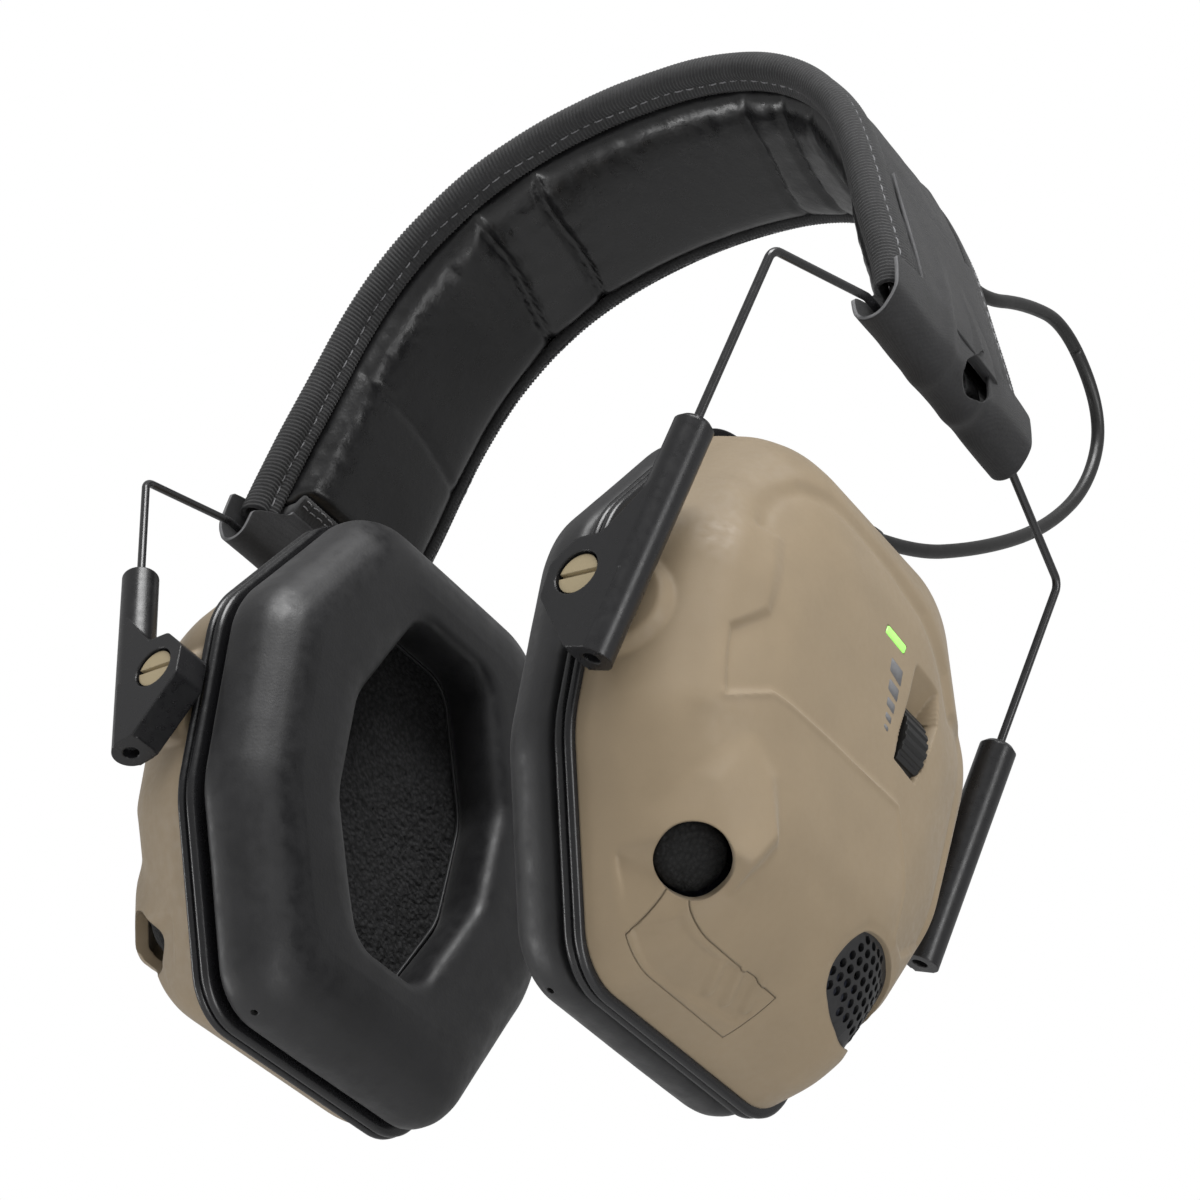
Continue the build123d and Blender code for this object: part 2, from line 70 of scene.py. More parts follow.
BOOT_BASE = np.array((3.5, 2.0, 46.0))
BOOT_AIM = np.array((0, 0.94, 0.34)) / np.hypot(0.94, 0.34)
BOOT_LENGTH = 13.0
LEAD_DIAMETER = 0.0026  # metres
SHELL_WALL = 2.2
PIN_HOLE_RADIUS = 2.5
PAD_END_ANGLE = 88.0
BINDING_END_ANGLE = 92.0


# ---------- camera
def placed(name, data):
    """New object of the scene with the given data."""
    obj = bpy.data.objects.new(name, data)
    bpy.context.scene.collection.objects.link(obj)
    return obj


camera = placed("camera", bpy.data.cameras.new("camera"))
bpy.context.scene.camera = camera
camera.data.sensor_width = 36
camera.data.lens = 80.5
camera.data.shift_x = 0.003
camera.data.clip_start = 0.01
camera.data.clip_end = 20
camera.matrix_world = Matrix((
    (0.8031, 0.2404, 0.5452, 0.2636),
    (0.5757, -0.5489, -0.6060, -0.2888),
    (0.1536, 0.8006, -0.5792, -0.3811),
    (0, 0, 0, 1),
))


# ---------- frames of the parts
def turn_y(degrees):
    c, s = cos(radians(degrees)), sin(radians(degrees))
    return np.array(((c, 0, s), (0, 1, 0), (-s, 0, c)))


def cup_to_row(side, points):
    """Points in a cup's frame, in millimetres, to the frame of the solids."""
    lean, bare, tilt = SIDES[side]
    pivot = turn_y(lean) @ (-PIVOT_INSET, 0, -KNEE_DROP - bare - PIVOT_BELOW_ARM_TOP)
    pivot = pivot + (SLEEVE_X, 0, SLEEVE_Z)
    moved = np.asarray(points, float) @ turn_y(tilt).T + pivot
    return moved * ((1, 1, 1) if side == "right" else (-1, 1, 1))


def in_cup(side):
    """The function that takes points of one side's cup to the frame of the solids."""
    return lambda points: cup_to_row(side, points)


def same(points):
    return np.asarray(points, float)


# ---------- mesh tools
class Shape:
    """Gathers vertices and faces of one piece, then makes its object."""

    def __init__(self):
        self.verts, self.faces, self.slots, self.count = [], [], [], 0

    def add(self, verts, faces, slot=0):
        verts = np.asarray(verts, float).reshape(-1, 3)
        self.verts.append(verts)
        self.faces += [[int(i) + self.count for i in f] for f in faces]
        self.slots += [slot] * len(faces)
        self.count += len(verts)

    def grid(self, points, wrap_rows=False, wrap_cols=False, caps=False, slot=0):
        rows, cols = points.shape[:2]
        index = np.arange(rows * cols).reshape(rows, cols)
        ends = [index[0][::-1].tolist(), index[-1].tolist()]
        if wrap_rows:
            index = np.vstack([index, index[:1]])
        if wrap_cols:
            index = np.hstack([index, index[:, :1]])
        quads = np.stack(
            [index[:-1, :-1], index[1:, :-1], index[1:, 1:], index[:-1, 1:]], -1
        ).reshape(-1, 4).tolist()
        self.add(points.reshape(-1, 3), quads + (ends if caps else []), slot)

    def tube(self, path, radius, sides=10, caps=True, slot=0):
        self.grid(tube_points(path, radius, sides), wrap_cols=True, caps=caps, slot=slot)

    def make(self, name, materials, place=same, merge=0.0, sharp=None):
        mesh = bpy.data.meshes.new(name)
        verts = place(np.vstack(self.verts)) * MM
        mesh.from_pydata(verts.tolist(), [], self.faces)
        mesh.polygons.foreach_set("material_index", self.slots)
        bm = bmesh.new()
        bm.from_mesh(mesh)
        if merge:
            bmesh.ops.remove_doubles(bm, verts=bm.verts, dist=merge * MM)
        bmesh.ops.recalc_face_normals(bm, faces=bm.faces)
        bm.to_mesh(mesh)
        bm.free()
        mesh.shade_smooth()
        if sharp:
            mesh.set_sharp_from_angle(angle=radians(sharp))
        for material in materials:
            mesh.materials.append(material)
        return placed(name, mesh)


def run_length(line):
    """Length along a broken line at each of its points, from 0."""
    return np.concatenate([[0], np.cumsum(np.linalg.norm(np.diff(line, axis=0), axis=1))])


def unit(vector):
    return vector / np.linalg.norm(vector)


def closed(name, rings, materials, place=same, wrap_rows=False, **finish):
    """Object from closed rings, with flat ends or joined into a hoop."""
    shape = Shape()
    shape.grid(np.array(rings), wrap_rows=wrap_rows, wrap_cols=True, caps=not wrap_rows)
    return shape.make(name, materials, place, **finish)


def tube_points(path, radius, sides):
    """Rings round a path, turned as little as possible from one to the next."""
    path = np.asarray(path, float)
    radius = np.broadcast_to(radius, len(path))
    along = np.gradient(path, axis=0)
    along /= np.linalg.norm(along, axis=1)[:, None]
    side = np.cross(along[0], (0.3, 0.2, 1.0))
    rings = []
    angles = np.arange(sides) * 2 * pi / sides
    for point, direction, r in zip(path, along, radius):
        side = side - direction * (side @ direction)
        side /= np.linalg.norm(side)
        up = np.cross(direction, side)
        rings.append(point + r * (np.outer(np.cos(angles), side) + np.outer(np.sin(angles), up)))
    return np.array(rings)


def settle(obj, body, slot, *nodes):
    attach(obj, body)
    if nodes:
        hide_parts(*nodes)
    return obj


def evaluated_mesh(obj):
    graph = bpy.context.evaluated_depsgraph_get()
    return bpy.data.meshes.new_from_object(obj.evaluated_get(graph))


def apply_modifiers(obj):
    """Bakes the object's modifiers into its mesh."""
    mesh = evaluated_mesh(obj)
    obj.modifiers.clear()
    obj.data = mesh


def boolean(obj, cutter, operation="DIFFERENCE"):
    """Cuts the object with another, which is then removed."""
    modifier = obj.modifiers.new("cut", "BOOLEAN")
    modifier.operation = operation
    modifier.solver = "EXACT"
    modifier.object = cutter
    apply_modifiers(obj)
    bpy.data.objects.remove(cutter)


def prism(outline, u_low, u_high, place):
    """Closed prism along U over a V-W outline, as an object for cutting."""
    outline = np.asarray(outline, float)
    rings = [np.column_stack([np.full(len(outline), u), outline]) for u in (u_low, u_high)]
    return closed("cutter", rings, [], place)


def rounded_outline(points, radius, steps=6):
    """Polygon with every corner rounded."""
    points = [np.asarray(p, float) for p in points]
    out = []
    for i, corner in enumerate(points):
        before, after = points[i - 1] - corner, points[(i + 1) % len(points)] - corner
        reach = min(radius, 0.45 * np.linalg.norm(before), 0.45 * np.linalg.norm(after))
        a = corner + before / np.linalg.norm(before) * reach
        b = corner + after / np.linalg.norm(after) * reach
        for k in range(steps + 1):
            t = k / steps
            out.append((1 - t) ** 2 * a + 2 * t * (1 - t) * corner + t * t * b)
    return np.array(out)


def smooth_step(value, low, high):
    t = np.clip((value - low) / (high - low), 0, 1)
    return t * t * (3 - 2 * t)


def to_segments(x, y, line, closed=False):
    """Distance from points to a broken line."""
    line = [np.asarray(p, float) for p in line]
    pairs = list(zip(line, line[1:])) + ([(line[-1], line[0])] if closed else [])
    best = np.full(np.shape(x), 1e9)
    for a, b in pairs:
        d = b - a
        t = np.clip(((x - a[0]) * d[0] + (y - a[1]) * d[1]) / (d @ d), 0, 1)
        best = np.minimum(best, np.hypot(x - a[0] - t * d[0], y - a[1] - t * d[1]))
    return best


def inside(x, y, outline):
    """Signed distance to a closed outline, positive inside."""
    odd = np.zeros(np.shape(x), bool)
    for a, b in zip(outline, list(outline[1:]) + [outline[0]]):
        crosses = (a[1] > y) != (b[1] > y)
        at = (b[0] - a[0]) * (y - a[1]) / ((b[1] - a[1]) or 1e-12) + a[0]
        odd ^= crosses & (x < at)
    distance = to_segments(x, y, outline, closed=True)
    return np.where(odd, distance, -distance)


def lumps(points, scale, seed):
    """Smooth random field with a given wavelength in millimetres."""
    flat = np.asarray(points, float).reshape(-1, 3) / scale + seed
    values = [noise.noise(Vector(p)) for p in flat]
    return np.array(values).reshape(np.shape(points)[:-1])


# ---------- materials
class Look:
    """Node material with the detail its surface has, in object coordinates."""

    def __init__(self, name, color, roughness, **sockets):
        self.material = bpy.data.materials.new(name)
        self.material.use_nodes = True
        self.tree = self.material.node_tree
        self.shader = self.tree.nodes["Principled BSDF"]
        self.shader.inputs["Base Color"].default_value = (*color, 1)
        self.shader.inputs["Roughness"].default_value = roughness
        for key, value in sockets.items():
            self.shader.inputs[key.replace("_", " ")].default_value = value
        self.coords = self.tree.nodes.new("ShaderNodeTexCoord").outputs["Object"]
        self.normal = None

    def node(self, kind, inputs=None, **settings):
        node = self.tree.nodes.new(kind)
        for key, value in settings.items():
            setattr(node, key, value)
        for key, value in (inputs or {}).items():
            if hasattr(value, "is_linked"):
                self.tree.links.new(value, node.inputs[key])
            else:
                node.inputs[key].default_value = value
        return node

    def noise(self, size, detail=3.0, rough=0.55, stretch=(1, 1, 1)):
        """Noise whose features are about the given size in millimetres."""
        where = self.node("ShaderNodeVectorMath", {0: self.coords, 1: stretch},
                          operation="MULTIPLY").outputs[0]
        inputs = {"Vector": where, "Scale": 1000 / size, "Detail": detail, "Roughness": rough}
        return self.node("ShaderNodeTexNoise", inputs).outputs["Fac"]

    def cells(self, size, feature="F1"):
        inputs = {"Vector": self.coords, "Scale": 1000 / size}
        return self.node("ShaderNodeTexVoronoi", inputs, feature=feature).outputs["Distance"]

    def math(self, operation, a, b=0.5):
        return self.node("ShaderNodeMath", {0: a, 1: b}, operation=operation).outputs[0]

    def spread(self, value, low, high, out_low, out_high):
        node = self.node(
            "ShaderNodeMapRange",
            {"Value": value, "From Min": low, "From Max": high,
             "To Min": out_low, "To Max": out_high},
        )
        return node.outputs["Result"]

    def tint(self, value, dark, light):
        """Base colour that runs between two colours with a value."""
        node = self.node("ShaderNodeMix", {"Factor": value}, data_type="RGBA")
        for socket, color in ((6, dark), (7, light)):
            node.inputs[socket].default_value = (*color, 1)
        self.tree.links.new(node.outputs[2], self.shader.inputs["Base Color"])

    def mottled(self, size, detail, dark, light):
        """Base colour that varies in patches of about the given size in millimetres."""
        self.tint(self.spread(self.noise(size, detail), 0.3, 0.7, 0, 1), dark, light)

    def rough(self, value, low, high):
        self.tree.links.new(
            self.spread(value, 0.3, 0.7, low, high), self.shader.inputs["Roughness"]
        )

    def bump(self, height, depth, strength=1.0):
        """Adds relief of about the given depth in millimetres."""
        inputs = {"Height": height, "Strength": strength, "Distance": depth * MM}
        if self.normal:
            inputs["Normal"] = self.normal
        self.normal = self.node("ShaderNodeBump", inputs).outputs["Normal"]
        self.tree.links.new(self.normal, self.shader.inputs["Normal"])

    def soft_edges(self, radius):
        node = self.node("ShaderNodeBevel", {"Radius": radius * MM}, samples=4)
        self.normal = node.outputs["Normal"]
        self.tree.links.new(self.normal, self.shader.inputs["Normal"])


def shade(color, factor):
    return tuple(c * factor for c in color)


def plastic(name, color, roughness, grain=0.25, depth=0.01, edge=0.25, **sockets):
    look = Look(name, color, roughness, **sockets)
    if edge:
        look.soft_edges(edge)
    look.mottled(9, 3, shade(color, 0.96), shade(color, 1.04))
    look.rough(look.noise(1.5, 4), roughness * 0.82, min(1, roughness * 1.2))
    look.bump(look.noise(grain, 2), depth)
    return look.material


def leather(name, color, roughness, grain=0.9, depth=0.05, crease=0.1, **sockets):
    look = Look(name, color, roughness, **sockets)
    look.mottled(12, 4, shade(color, 0.8), shade(color, 1.25))
    look.rough(look.noise(3.0, 4), roughness * 0.8, min(1, roughness * 1.25))
    look.bump(look.noise(5.0, 5, 0.6), crease)
    look.bump(look.cells(grain, "SMOOTH_F1"), depth, 0.6)
    look.bump(look.noise(0.35, 2), depth * 0.3)
    return look.material


def cloth(name, color, roughness, pitch=0.35, depth=0.03, **sockets):
    """Close weave: two sets of fine threads under uneven wear."""
    look = Look(name, color, roughness, **sockets)
    threads = None
    for axes in ((1, 0, 1), (0, 1, 0)):
        line = look.node(
            "ShaderNodeVectorMath", {0: look.coords, 1: axes}, operation="DOT_PRODUCT"
        ).outputs["Value"]
        wave = look.math("SINE", look.math("MULTIPLY", line, 2 * pi * 1000 / pitch))
        threads = wave if threads is None else look.math("MULTIPLY", threads, wave)
    fluff = look.noise(0.5, 4, 0.7)
    look.mottled(8, 4, shade(color, 0.75), shade(color, 1.3))
    look.rough(fluff, roughness * 0.85, min(1, roughness * 1.1))
    look.bump(threads, depth)
    look.bump(fluff, depth * 1.2)
    return look.material


def foam(name, color, cell=0.8, depth=0.5):
    look = Look(name, color, 0.95)
    holes = look.cells(cell)
    look.tint(look.spread(holes, 0.1, 0.7, 1, 0), shade(color, 0.45), shade(color, 1.5))
    look.bump(look.noise(cell * 1.4, 4, 0.7), depth)
    look.bump(holes, depth * 0.6)
    return look.material


def metal(name, color, roughness, grain=0.6, stretch=(1, 1, 1), **sockets):
    look = Look(name, color, roughness, Metallic=1.0, **sockets)
    scratches = look.noise(grain, 3, 0.6, stretch)
    look.rough(scratches, roughness * 0.7, roughness * 1.4)
    look.tint(look.noise(4, 3), shade(color, 0.85), shade(color, 1.1))
    look.bump(scratches, 0.006)
    return look.material


TAN = (0.262, 0.200, 0.126)
shell_tan = plastic("shell_tan", TAN, 0.56, grain=0.22, depth=0.010, edge=0.45,
                    Sheen_Weight=0.12, Sheen_Roughness=0.5, Specular_IOR_Level=0.42)
pin_tan = plastic("pin_tan", (0.33, 0.27, 0.165), 0.5, edge=0.2)
arm_black = plastic("arm_black", (0.010, 0.010, 0.011), 0.30, grain=1.2, depth=0.004, edge=0.45)
ring_black = plastic("ring_black", (0.010, 0.010, 0.011), 0.25, grain=1.2, depth=0.003, edge=0.2)
inner_black = plastic("inner_black", (0.02, 0.02, 0.021), 0.5)
vinyl_black = leather("vinyl_black", (0.007, 0.007, 0.0075), 0.30, grain=0.8, depth=0.035,
                      crease=0.16, Specular_IOR_Level=0.55)
cushion_skin = leather("cushion_skin", (0.012, 0.012, 0.013), 0.46, grain=0.5, depth=0.02,
                       crease=0.05, Sheen_Weight=0.08, Sheen_Roughness=0.4)
outer_cloth = cloth("outer_cloth", (0.010, 0.010, 0.011), 0.75, Sheen_Weight=0.10,
                    Sheen_Roughness=0.45)
binding_tape = cloth("binding_tape", (0.022, 0.022, 0.023), 0.8, pitch=0.3, depth=0.03,
                     Sheen_Weight=0.15, Sheen_Roughness=0.5)
cut_edge = cloth("cut_edge", (0.16, 0.16, 0.165), 0.85, pitch=0.25, depth=0.04)
thread = cloth("thread", (0.25, 0.25, 0.26), 0.7, pitch=0.2, depth=0.03)
liner_foam = foam("liner_foam", (0.020, 0.020, 0.021), 0.9, 0.5)
mic_black = foam("mic_black", (0.008, 0.008, 0.008), 0.7, 0.5)
cable_black = plastic("cable_black", (0.012, 0.012, 0.012), 0.36, grain=0.4, depth=0.01, edge=0)
wire_black = plastic("wire_black", (0.013, 0.013, 0.014), 0.28, grain=0.3, depth=0.004, edge=0,
                     Coat_Weight=0.3, Coat_Roughness=0.1)
grille_black = plastic("grille_black", (0.014, 0.014, 0.015), 0.42, edge=0.08)
wheel_black = plastic("wheel_black", (0.010, 0.010, 0.010), 0.42, edge=0.2)
mark_grey = plastic("mark_grey", (0.150, 0.150, 0.155), 0.5, edge=0)
spring_steel = metal("spring_steel", (0.62, 0.62, 0.63), 0.22, stretch=(1, 8, 1))
screw_steel = metal("screw_steel", (0.5, 0.5, 0.5), 0.3)
contact_metal = metal("contact_metal", (0.65, 0.6, 0.45), 0.25)
can_metal = metal("can_metal", (0.6, 0.6, 0.6), 0.3)
board_green = plastic("board_green", (0.015, 0.09, 0.035), 0.35, edge=0.1)
cell_sleeve = plastic("cell_sleeve", (0.05, 0.055, 0.08), 0.3, edge=0.3)
# painted glow: the emission stands in for light coming through the translucent green lens plastic
lens_green = plastic("lens_green", (0.35, 0.80, 0.16), 0.35, edge=0.15,
                     Emission_Color=(0.42, 0.95, 0.18, 1), Emission_Strength=0.55,
                     Subsurface_Weight=0.2)


def repaint(material, *nodes):
    """Gives carried-over solids their finished material."""
    for name in nodes:
        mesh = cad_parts[name].data
        mesh.materials.clear()
        mesh.materials.append(material)


# ---------- headband
def band(angle, offset, y):
    """Points at an angle from the crown, and an offset outwards from the band line."""
    angle, offset, y = np.broadcast_arrays(angle, offset, y)
    turn = np.radians(angle)
    radius = sum(t * np.cos(k * turn) for k, t in enumerate(BAND_TERMS)) + offset
    return np.stack([radius * np.sin(turn), y, BAND_CENTRE_Z + radius * np.cos(turn)], -1)


ANGLES = np.linspace(-112, 112, 8961)
LENGTHS = run_length(band(ANGLES, 0, 0))
LENGTHS -= np.interp(0, ANGLES, LENGTHS)  # along the band line, from the crown


def angle_at(length):
    return np.interp(length, LENGTHS, ANGLES)


def length_at(angle):
    return np.interp(angle, ANGLES, LENGTHS)


# centre angle and strength of each cross seam or fold of the pad
SEAMS = [(-62, 0.35), (-30, 1.0), (-19, 1.0), (21, 0.5), (29, 0.6), (37, 0.5), (58, 0.4)]
PAD_MIDDLE, PAD_HALF_WIDTH = 3.0, 17.7
PAD_THICKNESS = 6.0
COVER_HALF_WIDTH = 19.4


def make_pad():
    """Glossy vinyl pad: puffed between cross seams, with small creases that run into them."""
    end = length_at(PAD_END_ANGLE)
    lengths = np.arange(-end, end + 0.01, 0.9)
    across = np.linspace(-1, 1, 41)
    y = PAD_MIDDLE + PAD_HALF_WIDTH * np.sin(across * pi / 2)
    s, yy = np.meshgrid(lengths, y, indexing="ij")
    q = np.abs(yy - PAD_MIDDLE) / PAD_HALF_WIDTH
    crown = (1 - q ** 6.0) ** 0.4
    puff = PAD_THICKNESS - 0.6 * q ** 2
    for angle, strength in SEAMS:
        centre = length_at(angle) + 0.6 * np.sin(yy / 5 + angle) - 0.2 * yy
        d = s - centre
        puff -= strength * (1.7 * np.exp(-(d / 1.0) ** 2) + 1.0 * np.exp(-(d / 5.5) ** 2))
        ripple = np.sin(yy * 1.15 + 0.5 * np.sin(s * 0.3) + angle) * np.exp(-(d / 5.0) ** 2)
        puff += 0.16 * strength * ripple
    field = np.stack([s, yy, 0 * s], -1)
    puff += 0.35 * lumps(field * (1, 0.6, 1), 14, 3.1)
    wrinkled = 0.05 + 0.25 * np.exp(-((yy + 12) / 3.0) ** 2)
    puff += wrinkled * lumps(field * (1, 0.5, 1), 2.2, 7.7)
    ends = smooth_step(end - np.abs(s), 0, 3.5)
    depth = 0.9 + (puff * (0.35 + 0.65 * ends)) * crown
    front = band(angle_at(s), -0.5 - depth, yy)
    back = band(angle_at(s), np.full_like(s, -0.55), yy)[:, ::-1]
    flange_out = band(angle_at(lengths)[:, None], np.array([[-1.25, -0.55]]), 21.5)
    flange_in = band(angle_at(lengths)[:, None], np.array([[-0.55, -1.25]]), -20.0)
    rings = np.concatenate([front, flange_out, back, flange_in], axis=1)
    pad = closed("pad_vinyl", rings, [vinyl_black])
    settle(pad, "headband", "pad_vinyl", "pad_cover", "pad_foam")


RIB_PITCH = 0.85


def sew(shape, low, high, step, length, count, radius, line):
    """Row of stitches: arched threads along line(places, arch), in the shape's second slot."""
    arch = np.sin(np.linspace(0, pi, count))
    for at in np.arange(low, high, step):
        shape.tube(line(np.linspace(at, at + length, count), arch), radius, 6, slot=1)


def tape_profile(side):
    """Closed section of the folded tape: outer face round the edge, then back inside."""
    if side < 0:
        outer = [(-2.6, 14.9), (-2.9, 15.7), (-2.6, 16.8), (-2.15, 17.3), (-2.5, 18.0),
                 (-2.7, 19.0), (-2.3, 20.0), (-1.4, 20.8), (-0.2, 21.2), (0.9, 21.1),
                 (1.9, 20.6), (2.6, 19.8), (2.8, 19.0), (2.5, 18.4), (3.0, 17.7),
                 (3.3, 16.5), (3.5, 15.4), (3.4, 14.9)]
        inner = [(2.8, 14.95), (2.6, 16.5), (2.0, 19.3), (1.0, 20.4), (0.0, 20.5),
                 (-1.0, 20.2), (-1.8, 19.0), (-1.9, 17.0), (-2.0, 14.95)]
    else:
        outer = [(-2.6, 20.8), (-3.7, 21.0), (-4.3, 21.7), (-4.1, 22.6), (-3.5, 23.0),
                 (-3.5, 23.6), (-2.6, 24.3), (-1.2, 24.7), (0.4, 24.4), (1.8, 23.4),
                 (2.6, 21.8), (2.5, 20.4), (3.0, 18.9), (3.3, 17.0), (3.5, 15.4), (3.4, 14.9)]
        inner = [(2.8, 14.95), (2.6, 17.0), (2.0, 20.5), (0.8, 22.8), (-1.0, 23.4),
                 (-2.8, 22.8), (-3.0, 21.6), (-2.2, 21.0)]
    return np.array(outer), np.array(inner)


def make_binding(name, side):
    outer, inner = tape_profile(side)
    end = length_at(BINDING_END_ANGLE)
    lengths = np.arange(-end, end + 0.01, RIB_PITCH / 4)
    rib = 0.3 * np.abs(np.sin(pi * lengths / RIB_PITCH)) - 0.15
    sag = 0.22 * lumps(np.stack([lengths, 0 * lengths, 0 * lengths], -1), 14, side * 2.2)
    out = np.repeat(outer[None], len(lengths), 0)
    centre = np.array([0.2, 17.4])
    direction = out - centre
    direction /= np.linalg.norm(direction, axis=2)[..., None]
    out = out + direction * rib[:, None, None]
    out[:, :, 1] += sag[:, None]
    both = np.concatenate([out, np.repeat(inner[None], len(lengths), 0)], axis=1)
    points = band(angle_at(lengths)[:, None], both[:, :, 0], side * both[:, :, 1])
    shape = Shape()
    shape.grid(points, wrap_cols=True, caps=True)
    # running stitches on both faces, in the tape's two furrows
    rows = [(-2.1, 17.3, -1), (2.5, 18.4, 1)] if side < 0 else [(-3.5, 23.2, -1), (2.5, 20.4, 1)]
    for offset, furrow, out in rows:

        def line(s, arch):
            y = furrow + 0.22 * np.sin(s * 0.31 + offset)
            return band(angle_at(s), offset + out * (0.02 + 0.22 * arch), side * y)

        sew(shape, -end + 2.0, end - 2.5, 2.9, 2.1, 7, 0.16, line)
    piece = shape.make(name, [binding_tape, thread])
    settle(piece, "headband", "binding_tape", name)


def make_end_binding(name, sign):
    """Ribbed tape folded over the pad's end, with two rows of fine stitches."""
    low, high = length_at(PAD_END_ANGLE - 0.6), length_at(BINDING_END_ANGLE - 0.3)
    y = np.arange(-13.6, 13.61, RIB_PITCH / 4)
    rib = 0.10 * np.abs(np.sin(pi * y / RIB_PITCH)) - 0.04
    face = [(low - 0.6, -5.6), (low - 0.3, -6.3), (low + 0.6, -6.35), (low + 1.6, -5.7),
            (low + 2.8, -5.2), (high - 0.5, -4.9), (high, -4.3), (high, -1.6), (high - 0.4, -0.8),
            (low + 1.2, -0.8), (low + 0.9, -4.2), (low, -4.9)]
    face = np.array(face)
    out = face - face.mean(0)
    out /= np.linalg.norm(out, axis=1)[:, None]
    points = []
    for yy, r in zip(y, rib):
        grown = face + out * r
        points.append(band(sign * angle_at(grown[:, 0]), grown[:, 1], yy))
    shape = Shape()
    shape.grid(np.array(points), wrap_cols=True, caps=True)
    for s0, offset in ((low + 0.7, -6.45), (low + 1.7, -5.8)):

        def line(yy, arch):
            return band(sign * angle_at(s0 + 0.15 * np.sin(yy)), offset - 0.18 * arch, yy)

        sew(shape, -12.8, 12.0, 2.1, 1.5, 6, 0.14, line)
    piece = shape.make(name, [binding_tape, thread])
    settle(piece, "headband", "binding_tape", name)


def make_cover():
    """Smooth outer cloth between the bindings, slightly slack, with the lead under it."""
    end = length_at(91.0)
    lengths = np.arange(-end, end + 0.01, 1.0)
    y = np.linspace(-COVER_HALF_WIDTH, COVER_HALF_WIDTH, 65)
    s, yy = np.meshgrid(lengths, y, indexing="ij")
    field = np.stack([s, yy, 0 * s], -1)
    q = np.abs(yy) / COVER_HALF_WIDTH
    belly = 0.9 * (1 - q ** 3) - 1.6 * q ** 5
    slack = 0.5 * lumps(field * (1, 0.5, 1), 16, 1.7) + 0.2 * lumps(field, 5, 5.2)
    cable = 0.5 * np.exp(-((yy - 10.5) / 1.6) ** 2) * smooth_step(length_at(50) - np.abs(s), -8, 4)
    outer = band(angle_at(s), 3.0 + belly + slack * (1 - q ** 6) + cable, yy)
    under = band(angle_at(s), 2.15 - 1.6 * q ** 5, yy)[:, ::-1]
    cover = closed("outer_cover_cloth", np.concatenate([outer, under], axis=1), [outer_cloth])
    settle(cover, "headband", "outer_cloth", "outer_cover")


make_pad()
make_binding("binding_rear", 1)
make_binding("binding_front", -1)
make_end_binding("right_end_binding", 1)
make_end_binding("left_end_binding", -1)
make_cover()


SLEEVE_RADIUS = 3.35
SLEEVE_NARROW = 13.7  # half width inside the bindings


def sleeve_section():
    """The sleeve's line in the X-Z plane, from the band's outer face round the wire and back
    under the pad, with the length along it."""
    angles = np.linspace(64, 95.5, 64)
    down = band(angles, 3.75, 0)[:, (0, 2)]
    turn = np.radians(np.linspace(8, -188, 44))
    loop = np.stack([SLEEVE_X + SLEEVE_RADIUS * np.cos(turn),
                     SLEEVE_Z + SLEEVE_RADIUS * np.sin(turn)], 1)
    back = band(np.linspace(95.2, 90.4, 14), -4.9, 0)[:, (0, 2)]
    line = np.vstack([down, loop[2:], back])
    return line, run_length(line)


